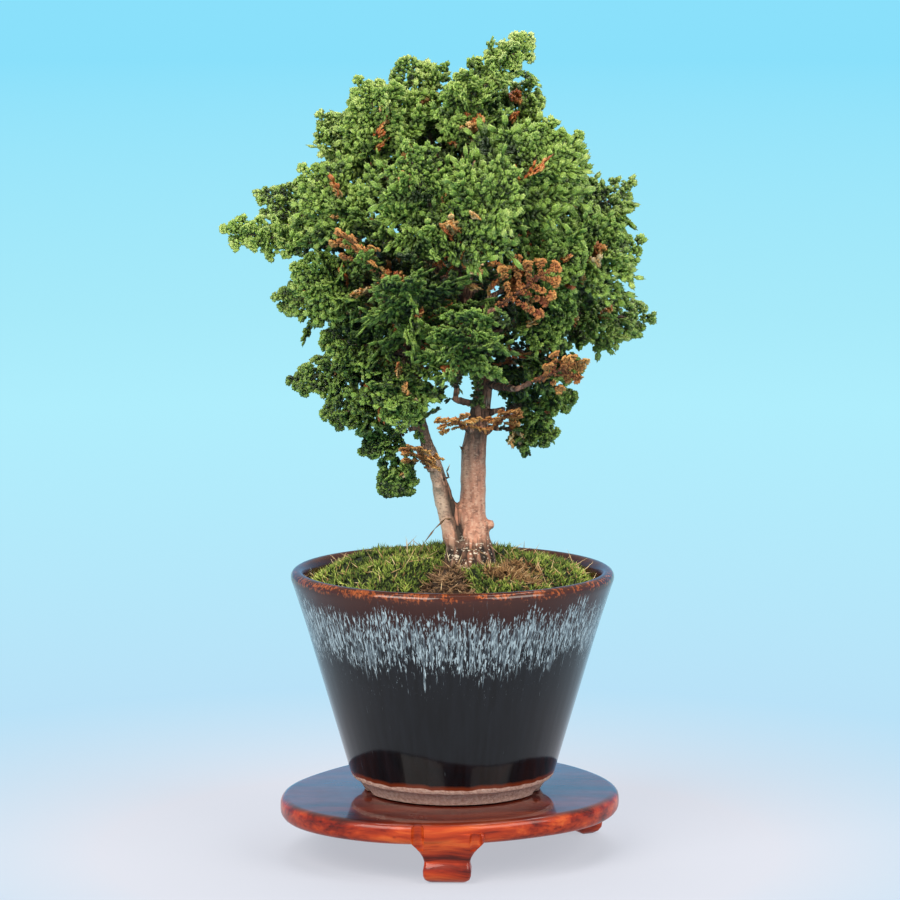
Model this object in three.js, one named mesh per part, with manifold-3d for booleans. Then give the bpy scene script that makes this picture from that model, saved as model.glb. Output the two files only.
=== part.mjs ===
// A sekka hinoki cypress bonsai: a twin-trunked tree with crested fronds in a round glazed pot,
// standing on a three-legged lacquered wooden stand. Millimetres, +Z up, the front faces -Y.

import * as THREE from 'three';
import { mergeVertices } from 'three/addons/utils/BufferGeometryUtils.js';
import Module from 'manifold-3d';

const wasm = await Module();
wasm.setup();

// Driving sizes. While the part is built, the pot's axis is x = 0, y = 0 and the floor is z = 0.
const seatGap = 0.3;

const stand = {
  top: 14,
  plateThickness: 5,
  // Outer radius of the plate every 30 degrees, from +X and turning towards the back.
  outline: [39.4, 39.2, 40.4, 40, 38.6, 37.4, 40, 42.6, 41.2, 38.4, 37.2, 38.8],
  legAngles: [-92, 28, 148],
  legWidth: 13.4,
  grooveSpacing: 13.2,
  grooveDepth: 1.1,
};

const pot = {
  height: 52.3,
  rimRadius: 38,
  footRadius: 21,
  footHeight: 3.2,
  wall: 3.4,
  floor: 5.2,
  drainRadius: 5,
  segments: 36,
  footNotchAngles: [-20, 90, 200],
  footNotchWidth: 4.5,
};

const net = { radius: 9, thickness: 0.8, holeSize: 2.4, holePitch: 3.8, segments: 24 };

const soil = {
  edgeRadius: 33.4, edgeHeight: 61.6, crownHeight: 66.4, rootHoleRadius: 5.4, rootHoleSides: 16,
};

const trunkBase = { x: 4.1, y: 0, bottom: 58 };

// Centre line and radius of the main trunk from the roots to the top.
const mainTrunk = [
  [4.1, 0, 58, 4.6], [4.1, 0, 68, 4.9], [4.2, 0, 72, 4.3], [4.6, 0, 78, 3.4], [4.8, 0, 84, 3.15],
  [5, 0, 95, 3], [6.3, 0.4, 103, 2.5], [7.4, 0.8, 110, 2.1], [5.6, 1, 118, 2], [4, 1, 127, 1.9],
  [2.4, 0.6, 140, 1.7], [1.6, 0, 153, 1.5], [3.6, -0.5, 165, 1.3], [6.4, -0.5, 174, 1.1],
];

// Centre line and radius of the left trunk, which leaves the main one just above the roots.
const leftTrunk = [
  [3.2, -0.6, 70, 2.6], [1.2, -1, 74.5, 3], [-0.5, -1.3, 79, 2.7], [-2.1, -1.6, 83.5, 2.35],
  [-3.2, -1.7, 88, 2], [-4.8, -1.6, 93, 1.75], [-6.6, -1.4, 98.5, 1.6], [-9.4, -1, 107, 1.5],
  [-12.6, 0, 117, 1.35], [-15.4, 1, 128, 1.2], [-17, 1, 137, 1],
];

// Cut stub and knob on the trunks: where each starts and ends, and its radii.
const stubs = [
  { from: [-2.6, -1.6, 85], to: [-3.6, -4.6, 87.4], radii: [1.5, 1.1] },
  { from: [5.4, 0, 75.5], to: [9.3, -1.4, 77.6], radii: [2.2, 1.1] },
];

const trunkSides = { main: 9, left: 7, stub: 6 };

// A branch: its radii at the trunk, the elbow and the spray, and how far the elbow is from the
// spray. Its last part points along the spray, or less and less so where that would fold it.
const branch = {
  radii: [1.3, 1.1, 0.9], sides: 4, handle: 4, mostTurn: 100, straightening: [0, 0.2, 0.35, 0.5, 0.7, 1],
};

// The crown's main mass, an ellipsoid that the fronds stand out of.
const crown = { centre: [2, 0, 141], radii: [37, 33, 43] };

// A spray of fronds: where along it the leaflets start and the rib ends, the length of each pair
// of leaflets as a share of the spray's, and how far it may bend and turn from its branch.
const spray = {
  length: 32, shortest: 10.5, twigShare: 0.16, ribShare: 0.84, bend: 0.4, mostTurn: 50, pairs: 4,
  leafletShares: [0.44, 0.46, 0.36, 0.22], shortestShare: 0.19, widthShare: 0.083,
  leafThickness: 0.8, twigRadius: 0.85, ribWidth: 0.8, ribThickness: 0.85, leastSlim: 0.55,
};

// A leaflet: its angle from the rib at the first and the last pair, how far the pairs lean out of
// the spray's face in turn, how far it curls, and how much each of these varies.
const leafletShape = {
  angles: [64, 56], angleVaries: 6, leans: [0.22, -0.1], leanVaries: 0.08, curl: 0.16, curlBack: 0.35,
  lengthVaries: 0.24, middle: 0.62, tipLean: 0.2, tipWidth: 0.75, trimmedWidth: 0.35,
  widest: 0.26,
};

// Room kept round a leaflet and past a stem's radius, and how closely both are marked out.
const clearance = { leaflet: 1.05, stem: 0.35, markStep: 1.6 };

// Shares of its full length that a leaflet in a tight place is tried at.
const trims = [1, 0.82, 0.66, 0.54];

// Sideways swings tried in turn for a spray that would cross a neighbour.
const swings = [0, 0.4, -0.4, 0.8, -0.8, 1.2, -1.2, 1.7, -1.7];

// The furthest sprays, which give the tree its outline: the tip, the place where the spray sits
// on its branch, the trunk that carries it and the height at which the branch leaves that trunk.
// A spread under 1 gives a narrower spray.
const outlineSprays = [
  { tip: [18.7, -1, 190.5], root: [3.5, 0, 178.5], trunk: mainTrunk, leave: 170, spread: 0.5 },
  { tip: [-11, 1, 186], root: [-4, 1, 164], trunk: mainTrunk, leave: 150 },
  { tip: [2, -7, 183], root: [5, -9, 163], trunk: mainTrunk, leave: 152 },
  { tip: [-22, -3, 181.5], root: [-10, -4, 160], trunk: mainTrunk, leave: 146 },
  { tip: [-31.5, 3, 173], root: [-14, 3, 155], trunk: mainTrunk, leave: 142 },
  { tip: [-35, -5, 161], root: [-16, -6, 146], trunk: mainTrunk, leave: 133 },
  { tip: [-46, 3, 154.5], root: [-26, 4, 144.5], trunk: leftTrunk, leave: 131, spread: 0.8 },
  { tip: [-53.6, -3, 146.4], root: [-30, -5, 143], trunk: leftTrunk, leave: 127, spread: 0.5 },
  { tip: [-41.5, -4, 130.6], root: [-20, -4, 130], trunk: leftTrunk, leave: 119, spread: 0.7 },
  { tip: [-38.5, 1, 110.8], root: [-17, 1, 113.5], trunk: leftTrunk, leave: 106, spread: 0.7 },
  { tip: [-30, -7, 103.4], root: [-11.5, -6, 107], trunk: leftTrunk, leave: 99, spread: 0.7 },
  { tip: [-21, -4, 94.5], root: [-10.5, -2.5, 99.5], trunk: leftTrunk, leave: 95, spread: 0.8 },
  { tip: [-16.3, -4, 85.6], root: [-8.5, -2.6, 93], trunk: leftTrunk, leave: 97 },
  { tip: [19, 3, 180.5], root: [9, 3, 161], trunk: mainTrunk, leave: 148 },
  { tip: [29.5, -3, 168.5], root: [12, -3, 151.5], trunk: mainTrunk, leave: 139 },
  { tip: [42.7, 2, 157.3], root: [22, 2, 142], trunk: mainTrunk, leave: 131, spread: 0.9 },
  { tip: [43.8, -5, 144], root: [21, -6, 136], trunk: mainTrunk, leave: 126 },
  { tip: [47, 1, 125.2], root: [21, 1, 127], trunk: mainTrunk, leave: 119, spread: 0.8 },
  { tip: [30, -8, 114.5], root: [13, -7, 119], trunk: mainTrunk, leave: 113 },
  { tip: [28.6, -2, 107.6], root: [12.5, -2, 104.5], trunk: mainTrunk, leave: 101, spread: 0.75 },
  { tip: [23.8, -5, 98.6], root: [11, -4.5, 99.5], trunk: mainTrunk, leave: 97, spread: 0.75 },
  { tip: [-12, -20, 100.5], root: [-11, -9, 118], trunk: leftTrunk, leave: 111, face: [0, -1, 0.3] },
  { tip: [-14, -31, 139], flat: 0.6, rise: 0.45, trunk: leftTrunk, leave: 110, face: [-0.3, -1, 0.3] },
  { tip: [4, -31, 131], root: [1, -13, 111], trunk: mainTrunk, leave: 105, face: [0, -1, 0.2] },
  { tip: [-30, -12, 122.5], root: [-14, -8.5, 118.5], trunk: leftTrunk, leave: 110, face: [-0.3, -1, 0.4] },
  { tip: [-37, -12, 138.5], root: [-17, -9, 131], trunk: leftTrunk, leave: 121, face: [-0.3, -1, 0.4] },
  { tip: [30, -17, 143.5], root: [12, -13, 134], trunk: mainTrunk, leave: 123, face: [0.3, -1, 0.4] },
  { tip: [28, -15, 130], root: [12, -11, 124], trunk: mainTrunk, leave: 116, face: [0.2, -1, 0.4] },
  { tip: [-3, -22, 108], root: [-4, -10, 120], trunk: mainTrunk, leave: 114, face: [0, -1, 0.2] },
];

// Evenly spread sprays that fill the crown on all sides between those above.
const fill = {
  shells: [{ size: 1, count: 40, length: 32 }, { size: 0.8, count: 36, length: 27 },
    { size: 0.95, count: 52, length: 22 }],
  clearOfTips: 11, lowest: 98, branchDrop: 0.42, mostSprays: 49, flat: 0.6, rise: 0.55, leastKept: 0.6,
  deepestShare: 0.86,
};

// Dead brown sprays on the front of the crown.
const deadSprays = [
  { tip: [-25, -27, 148], trunk: leftTrunk, leave: 133, length: 15 },
  { tip: [23.5, -27.5, 140], trunk: mainTrunk, leave: 119, length: 17 },
  { tip: [30, -20, 118], trunk: mainTrunk, leave: 110, length: 13 },
  { tip: [0, -22, 105], trunk: mainTrunk, leave: 103, length: 12 },
  { tip: [13.5, -15, 106], trunk: mainTrunk, leave: 101, length: 11 },
  { tip: [-8, -15, 97.5], trunk: leftTrunk, leave: 92, length: 11 },
];

// Moss cushions round the trunk: the sector that each covers, in degrees, and its height.
const mossCushions = [
  { name: 'moss_front_left', from: 190, to: 250, inner: 3.8, height: 3.2 },
  { name: 'moss_dry_patch', from: 254, to: 279, inner: 5.6, height: 2.2 },
  { name: 'moss_front_right', from: 281, to: 322, inner: 9, height: 2.6 },
  { name: 'moss_right', from: 324, to: 392, inner: 10.4, height: 3 },
  { name: 'moss_back', from: 34, to: 120, inner: 9, height: 3.4 },
  { name: 'moss_left', from: 122, to: 184, inner: 3.8, height: 3.4 },
];
const mossEdge = { thickness: 0.9, outer: 32.9, lump: 1.1, stepAngle: 9, seed: 500 };

// Colours, as the photograph shows them.
const material = (color, roughness, metalness = 0) =>
  new THREE.MeshStandardMaterial({ color, roughness, metalness });
const lacquer = material(0x8a2c12, 0.2);
const glaze = material(0x2f3033, 0.15);
const plastic = material(0x22261f, 0.6);
const earth = material(0x3b2a1c, 0.95);
const bark = material(0x9c6a50, 0.85);
const moss = material(0x6f8a22, 0.95);
const dryMoss = material(0x8a6a40, 0.95);
const foliage = material(0x3c7a2a, 0.6);
const deadFoliage = material(0xb5662f, 0.8);

// Seeded random numbers from 0 to 1, the same each time.
function randomFrom(seed) {
  let state = (seed * 7919 + 104729) % 4294967296;
  return () => {
    state = (state * 1664525 + 1013904223) % 4294967296;
    return state / 4294967296;
  };
}

const vector = (values) => new THREE.Vector3(values[0], values[1], values[2]);
const radians = THREE.MathUtils.degToRad;
const along = (from, to, share) => from.clone().lerp(to, share);
const offset = (point, direction, distance) => point.clone().addScaledVector(direction, distance);

// Solids and geometry

function geometryOf(points, faces) {
  const geometry = new THREE.BufferGeometry().setFromPoints(points);
  geometry.setIndex(faces);
  geometry.computeVertexNormals();
  return geometry;
}

function solidOf(geometry) {
  const bare = geometry.clone();
  bare.deleteAttribute('normal');
  bare.deleteAttribute('uv');
  const merged = mergeVertices(bare, 1e-4);
  const vertProperties = new Float32Array(merged.attributes.position.array);
  const triVerts = new Uint32Array(merged.index.array);
  return new wasm.Manifold(new wasm.Mesh({ numProp: 3, vertProperties, triVerts }));
}

function geometryOfSolid(solid) {
  const { vertProperties, triVerts } = solid.getMesh();
  const geometry = new THREE.BufferGeometry();
  geometry.setAttribute('position', new THREE.BufferAttribute(vertProperties, 3));
  geometry.setIndex(new THREE.BufferAttribute(triVerts, 1));
  geometry.computeVertexNormals();
  return geometry;
}

const joined = (geometries) =>
  geometryOfSolid(geometries.map(solidOf).reduce((whole, next) => whole.add(next)));

// A closed skin over rings of equally many points, turning to the left as seen from the last ring.
function loft(rings) {
  const count = rings[0].length;
  const points = rings.flat();
  const faces = [];
  for (let ring = 0; ring < rings.length - 1; ring += 1) {
    for (let side = 0; side < count; side += 1) {
      const low = ring * count + side;
      const lowNext = ring * count + ((side + 1) % count);
      faces.push(low, lowNext, lowNext + count, low, lowNext + count, low + count);
    }
  }
  const centreOf = (ring) => ring.reduce((sum, p) => sum.add(p), vector([0, 0, 0])).divideScalar(count);
  const last = (rings.length - 1) * count;
  const startCentre = points.push(centreOf(rings[0])) - 1;
  const endCentre = points.push(centreOf(rings.at(-1))) - 1;
  for (let side = 0; side < count; side += 1) {
    const next = (side + 1) % count;
    faces.push(startCentre, next, side, endCentre, last + side, last + next);
  }
  return geometryOf(points, faces);
}

// A round stem through a list of centre points, with its radius at each.
function stem(centres, radii, sides) {
  const rings = [];
  let across = new THREE.Vector3(1, 0.3, 0.1);
  centres.forEach((centre, i) => {
    const arriving = i > 0 ? centre.clone().sub(centres[i - 1]).normalize() : vector([0, 0, 0]);
    const leaving = i < centres.length - 1 ? centres[i + 1].clone().sub(centre).normalize() : arriving;
    const tangent = leaving.clone().add(arriving).normalize();
    across = offset(across, tangent, -across.dot(tangent)).normalize();
    const upward = tangent.clone().cross(across);
    const ring = [];
    for (let side = 0; side < sides; side += 1) {
      const turn = (side / sides) * 2 * Math.PI;
      const rim = offset(centre, across, radii[i] * Math.cos(turn));
      ring.push(offset(rim, upward, radii[i] * Math.sin(turn)));
    }
    rings.push(ring);
  });
  return loft(rings);
}

function turned(profile, segments) {
  const geometry = new THREE.LatheGeometry(profile.map(([r, z]) => new THREE.Vector2(r, z)), segments);
  return geometry.rotateX(Math.PI / 2);
}

// Stand

// The plate's outer radius in a direction, smooth between the driving radii.
function plateRadius(angle) {
  const place = THREE.MathUtils.euclideanModulo(angle, 360) / 30;
  const index = Math.floor(place);
  const share = place - index;
  const radiusAt = (step) => stand.outline[(index + step + 12) % 12];
  const [before, start, end, after] = [-1, 0, 1, 2].map(radiusAt);
  const slope = (end - before) / 2;
  const endSlope = (after - start) / 2;
  const rise = end - start;
  const bend = 3 * rise - 2 * slope - endSlope;
  const twist = slope + endSlope - 2 * rise;
  return start + share * (slope + share * (bend + share * twist));
}

function plate() {
  const bottom = stand.top - stand.plateThickness;
  // Inset from the outline and height of each ring of the rounded edge, from below.
  const edge = [[3, bottom], [0.9, bottom + 0.7], [0, bottom + 2.1], [0.2, bottom + 3.4],
    [1, bottom + 4.5], [2.6, stand.top]];
  const rings = edge.map(([inset, height]) => {
    const ring = [];
    for (let angle = 0; angle < 360; angle += 10) {
      const radius = plateRadius(angle) - inset;
      ring.push(vector([radius * Math.cos(radians(angle)), radius * Math.sin(radians(angle)), height]));
    }
    return ring;
  });
  return loft(rings);
}

function leg() {
  // Each level from the floor up: height, inner and outer distance past the edge, and width.
  const levels = [[0, -6.4, -2.6, 8.6], [0.7, -6.8, -1.4, 10.6], [2.4, -7.2, -0.7, 11.4],
    [3.8, -7, -0.9, 11.2], [4.6, -7, -1.9, 10.6], [6.2, -7.4, -1.7, 10.9], [8, -8.2, -0.9, 12.2],
    [9.6, -9.4, -0.3, stand.legWidth], [11.8, -10, -0.2, stand.legWidth]];
  const rings = levels.map(([height, inner, outer, width]) => {
    const half = width / 2;
    const corner = 1.1;
    const outline = [[outer - corner, -half], [outer, -half + corner], [outer, half - corner],
      [outer - corner, half], [inner + corner, half], [inner, half - corner],
      [inner, -half + corner], [inner + corner, -half]];
    return outline.map(([x, y]) => vector([x, y, height]));
  });
  return loft(rings);
}

function groove() {
  const depth = stand.grooveDepth;
  const section = [[-depth, 0], [1.5, -1.4], [1.5, 1.4]];
  const ringAt = (height) => section.map(([x, y]) => vector([x, y, height]));
  return loft([ringAt(7.6), ringAt(stand.top + 0.4)]);
}

function standGeometry() {
  let body = solidOf(plate());
  for (const angle of stand.legAngles) {
    const place = (geometry, sideways) => {
      geometry.translate(plateRadius(angle), sideways, 0);
      return solidOf(geometry.rotateZ(radians(angle)));
    };
    body = body.add(place(leg(), 0));
    body = body.subtract(place(groove(), stand.grooveSpacing / 2));
    body = body.subtract(place(groove(), -stand.grooveSpacing / 2));
  }
  return geometryOfSolid(body);
}

// Pot and what lies in it

const potBottom = stand.top + seatGap;
const innerRadius = (height) => {
  const share = (height - pot.floor) / (pot.height - pot.floor);
  return THREE.MathUtils.lerp(pot.footRadius + 1.3, pot.rimRadius - pot.wall, share);
};

function potGeometry() {
  const top = pot.height;
  const rim = pot.rimRadius;
  const profile = [
    [pot.footRadius - 4.2, 0.3], [pot.footRadius - 3.8, 0], [pot.footRadius - 0.6, 0],
    [pot.footRadius, 0.5], [pot.footRadius + 1.6, pot.footHeight - 0.4],
    [pot.footRadius + 2.6, pot.footHeight], [pot.footRadius + 3.2, pot.footHeight + 1],
    [rim - 0.7, top - 4], [rim - 0.1, top - 2.6], [rim, top - 1.4], [rim - 0.7, top - 0.3],
    [rim - 1.7, top], [rim - 2.8, top - 0.5], [rim - 3.3, top - 1.6],
    [innerRadius(pot.floor + 2), pot.floor + 2], [innerRadius(pot.floor) - 2, pot.floor],
    [pot.drainRadius, pot.floor], [pot.drainRadius, 1.8], [pot.footRadius - 4.8, 1.8],
  ];
  profile.push(profile[0]);
  let body = solidOf(turned(profile, pot.segments));
  for (const angle of pot.footNotchAngles) {
    const notch = new THREE.BoxGeometry(9, pot.footNotchWidth, 3);
    notch.translate(pot.footRadius, 0, 0);
    notch.rotateZ(radians(angle));
    body = body.subtract(solidOf(notch));
  }
  return geometryOfSolid(body).translate(0, 0, potBottom);
}

function netGeometry() {
  const disc = new THREE.CylinderGeometry(net.radius, net.radius, net.thickness, net.segments);
  let body = solidOf(disc.rotateX(Math.PI / 2));
  for (const x of [-net.holePitch, 0, net.holePitch]) {
    for (const y of [-net.holePitch, 0, net.holePitch]) {
      const hole = new THREE.BoxGeometry(net.holeSize, net.holeSize, 3 * net.thickness);
      body = body.subtract(solidOf(hole.translate(x, y, 0)));
    }
  }
  return geometryOfSolid(body).translate(0, 0, potBottom + pot.floor + seatGap + net.thickness / 2);
}

const soilHeight = (radius) =>
  soil.crownHeight - (soil.crownHeight - soil.edgeHeight) * (radius / soil.edgeRadius) ** 2;

function soilGeometry() {
  const floor = potBottom + pot.floor + seatGap;
  const overNet = floor + net.thickness + seatGap;
  const wallAt = (height) => innerRadius(height - potBottom) - 0.5;
  const profile = [[0, overNet], [net.radius + 0.5, overNet], [net.radius + 0.8, floor],
    [innerRadius(pot.floor) - 2.6, floor], [wallAt(floor + 2.2), floor + 2.2],
    [Math.min(wallAt(soil.edgeHeight), soil.edgeRadius), soil.edgeHeight]];
  for (const radius of [26, 18, 10]) {
    profile.push([radius, soilHeight(radius)]);
  }
  profile.push([0, soil.crownHeight]);
  const holeHeight = 30;
  const hole = new THREE.CylinderGeometry(
    soil.rootHoleRadius, soil.rootHoleRadius, holeHeight, soil.rootHoleSides);
  hole.rotateX(Math.PI / 2);
  hole.translate(trunkBase.x, trunkBase.y, trunkBase.bottom - seatGap + holeHeight / 2);
  return geometryOfSolid(solidOf(turned(profile, pot.segments)).subtract(solidOf(hole)));
}

function mossGeometry(cushion, index) {
  const random = randomFrom(mossEdge.seed + index);
  const aroundSteps = Math.round((cushion.to - cushion.from) / mossEdge.stepAngle);
  const outSteps = 4;
  const top = [];
  const under = [];
  for (let around = 0; around <= aroundSteps; around += 1) {
    for (let out = 0; out <= outSteps; out += 1) {
      const acrossShare = around / aroundSteps;
      const outShare = out / outSteps;
      const border = around === 0 || around === aroundSteps || out === 0 || out === outSteps;
      const swell = Math.sqrt(Math.sin(Math.PI * acrossShare) * Math.sin(Math.PI * outShare));
      const lump = border ? 0 : (random() - 0.35) * mossEdge.lump;
      const angle = radians(THREE.MathUtils.lerp(cushion.from, cushion.to, acrossShare));
      const radius = THREE.MathUtils.lerp(cushion.inner, mossEdge.outer, outShare);
      const ground = soilHeight(radius) + seatGap;
      const [x, y] = [radius * Math.cos(angle), radius * Math.sin(angle)];
      under.push(vector([x, y, ground]));
      top.push(vector([x, y, ground + mossEdge.thickness + cushion.height * swell + lump]));
    }
  }
  const width = outSteps + 1;
  const faces = [];
  const low = (place) => place + top.length;
  for (let around = 0; around < aroundSteps; around += 1) {
    for (let out = 0; out < outSteps; out += 1) {
      const near = around * width + out;
      const far = near + width;
      faces.push(near, near + 1, far + 1, near, far + 1, far);
      faces.push(low(near), low(far + 1), low(near + 1), low(near), low(far), low(far + 1));
    }
  }
  const border = [];
  for (let out = 0; out < outSteps; out += 1) border.push(out);
  for (let around = 0; around < aroundSteps; around += 1) border.push(around * width + outSteps);
  for (let out = outSteps; out > 0; out -= 1) border.push(aroundSteps * width + out);
  for (let around = aroundSteps; around > 0; around -= 1) border.push(around * width);
  border.forEach((place, i) => {
    const next = border[(i + 1) % border.length];
    faces.push(place, low(place), low(next), place, low(next), next);
  });
  return geometryOf(top.concat(under), faces);
}

// Tree

function trunkPoint(line, height) {
  const last = line.length - 2;
  const found = line.findIndex((knot, i) => i > 0 && knot[2] >= height) - 1;
  const index = found < 0 ? last : found;
  const [low, high] = [line[index], line[index + 1]];
  const share = THREE.MathUtils.clamp((height - low[2]) / (high[2] - low[2]), 0, 1);
  return along(vector(low), vector(high), share);
}

// How far out in the crown a point lies, as a share of the crown's radii.
const crownShare = (point) => point.clone().sub(vector(crown.centre)).divide(vector(crown.radii)).length();

// Where a spray's branch leaves the trunk, where it ends, and the spray's own bent axis. Each
// attempt swings the spray to another side of its tip, until it crosses nothing.
function layOut(plan, attempt) {
  const tip = vector(plan.tip);
  const leave = trunkPoint(plan.trunk, plan.leave);
  const outward = tip.clone().sub(vector(crown.centre)).normalize();
  const inward = leave.clone().sub(tip);
  const swing = plan.swing + swings[attempt];
  const sideways = new THREE.Vector3(-outward.y, outward.x, 0).multiplyScalar(swing);
  const homeward = plan.flat ? outward.clone().multiplyScalar(-plan.flat) : inward.clone().normalize();
  const back = homeward.add(sideways).add(vector([0, 0, -plan.rise])).normalize();
  const root = plan.root
    ? vector(plan.root).add(vector([0, swing * 5, 0]))
    : offset(tip, back, Math.min(plan.length, inward.length() - 3));
  const length = root.distanceTo(tip);
  const chord = tip.clone().sub(root).normalize();
  const straight = root.clone().sub(leave);
  const handle = Math.min(branch.handle, 0.4 * straight.length());
  const elbow = branch.straightening
    .map((share) => offset(root, along(chord, straight.clone().normalize(), share).normalize(), -handle))
    .find((place) => place.clone().sub(leave).angleTo(root.clone().sub(place)) < radians(branch.mostTurn));
  const branchLine = new THREE.CurvePath();
  branchLine.add(new THREE.LineCurve3(leave, elbow));
  branchLine.add(new THREE.LineCurve3(elbow, root));
  const heading = root.clone().sub(elbow).normalize();
  const start = offset(root, heading, seatGap + 0.05);
  const axisBend = offset(start, heading, length * spray.bend * Math.max(heading.dot(chord), 0.2));
  const axis = new THREE.QuadraticBezierCurve3(start, axisBend, tip);
  const lookedAt = plan.face ? vector(plan.face) : outward.add(vector([0, 0, 0.35]));
  const side = chord.clone().cross(lookedAt).normalize();
  const turn = heading.angleTo(chord);
  const fits = length >= spray.shortest && turn < radians(spray.mostTurn)
    && (!plan.flat || crownShare(root) < fill.deepestShare * crownShare(tip));
  return { ...plan, length, fits, limb: [leave, elbow, root], branchLine, axis, chord, side };
}

// Directions spread evenly over a sphere, for the sprays that fill the crown.
function fillPlans() {
  const plans = [];
  const outlineTips = outlineSprays.map((plan) => vector(plan.tip));
  fill.shells.forEach(({ size, count, length }) => {
    for (let i = 0; i < count; i += 1) {
      const rise = 1 - (2 * (i + 0.5)) / count;
      const turn = i * Math.PI * (3 - Math.sqrt(5));
      const level = Math.sqrt(1 - rise * rise);
      const direction = new THREE.Vector3(level * Math.cos(turn), level * Math.sin(turn), rise);
      const reach = direction.multiply(vector(crown.radii)).multiplyScalar(size);
      const tip = reach.clone().add(vector(crown.centre));
      const crowded = outlineTips.some((other) => other.distanceTo(tip) < fill.clearOfTips);
      if (crowded || tip.z < fill.lowest) continue;
      const lift = fill.rise * (rise + 0.3);
      const leave = tip.z - fill.branchDrop * Math.hypot(reach.x, reach.y) - lift * length;
      const trunk = tip.x < -10 && leave < 130 ? leftTrunk : mainTrunk;
      const swing = i % 2 === 0 ? 0.5 : -0.5;
      plans.push({
        tip: tip.toArray(), trunk, swing, length, flat: fill.flat, rise: lift,
        leave: THREE.MathUtils.clamp(leave, 98, 172),
      });
    }
  });
  return plans;
}

// A spray's flat frame at a share of its length: the rib, its direction, its face and its side.
function frameAt(plan, share) {
  const rib = plan.axis.getPoint(share);
  const direction = plan.axis.getTangent(share);
  const turn = new THREE.Quaternion().setFromUnitVectors(plan.chord, direction);
  const side = plan.side.clone().applyQuaternion(turn);
  const face = side.clone().cross(direction);
  return { rib, direction, face, side };
}

// The leaflets down both sides of a spray and the one at its tip, each with its own root,
// direction, length and half width. Neighbours lean up and down in turn, so they stay clear.
function makeLeaflets(plan, index) {
  const random = randomFrom(index);
  const leafWidth = plan.length * spray.widthShare * THREE.MathUtils.lerp(1, plan.spread, 0.7);
  const leaflets = [];
  for (let i = 0; i < spray.pairs; i += 1) {
    for (const hand of [-1, 1]) {
      const share = spray.twigShare + (spray.ribShare - spray.twigShare) * ((i + 0.5) / spray.pairs);
      const { rib, direction, face } = frameAt(plan, share);
      const evenAngle = THREE.MathUtils.lerp(...leafletShape.angles, i / (spray.pairs - 1));
      const angle = evenAngle + leafletShape.angleVaries * (random() - 0.5);
      const lean = leafletShape.leans[i % 2] + leafletShape.leanVaries * (random() - 0.5);
      const heading = direction.clone().applyAxisAngle(face, -hand * radians(angle));
      const forward = heading.clone().applyAxisAngle(face, hand * Math.PI / 2);
      const varied = 1 + leafletShape.lengthVaries * (random() - 0.5);
      const fullShare = plan.spread * spray.leafletShares[i] * varied;
      const length = plan.length * Math.max(fullShare, spray.shortestShare);
      leaflets.push({
        root: rib, heading: offset(heading, face, lean).normalize(), forward, face, length,
        halfWidth: leafWidth, curl: leafletShape.curl * (random() - leafletShape.curlBack),
      });
    }
  }
  const { rib, direction, face, side } = frameAt(plan, spray.ribShare);
  const length = plan.length * (1 - spray.ribShare);
  leaflets.push({
    root: rib, heading: offset(direction, face, leafletShape.tipLean).normalize(), forward: side,
    face, length, halfWidth: leafWidth * leafletShape.tipWidth, curl: 0,
  });
  return leaflets;
}

// A point on a leaflet, by its share of the length and its share of the half width.
function leafletPoint(leaflet, share, across) {
  const middle = offset(leaflet.root, leaflet.heading, leaflet.length * share);
  const raised = offset(middle, leaflet.face, leaflet.length * leaflet.curl * share * share);
  return offset(raised, leaflet.forward, leaflet.halfWidth * across);
}

// The outline of a leaflet's crested end, from its rear edge round the tip to its front edge.
const crest = [[0.4, -0.95], [0.6, -0.7], [0.84, -1.15], [1, -0.3], [0.96, 0.5], [0.8, 1.15], [0.5, 0.8]];

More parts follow.
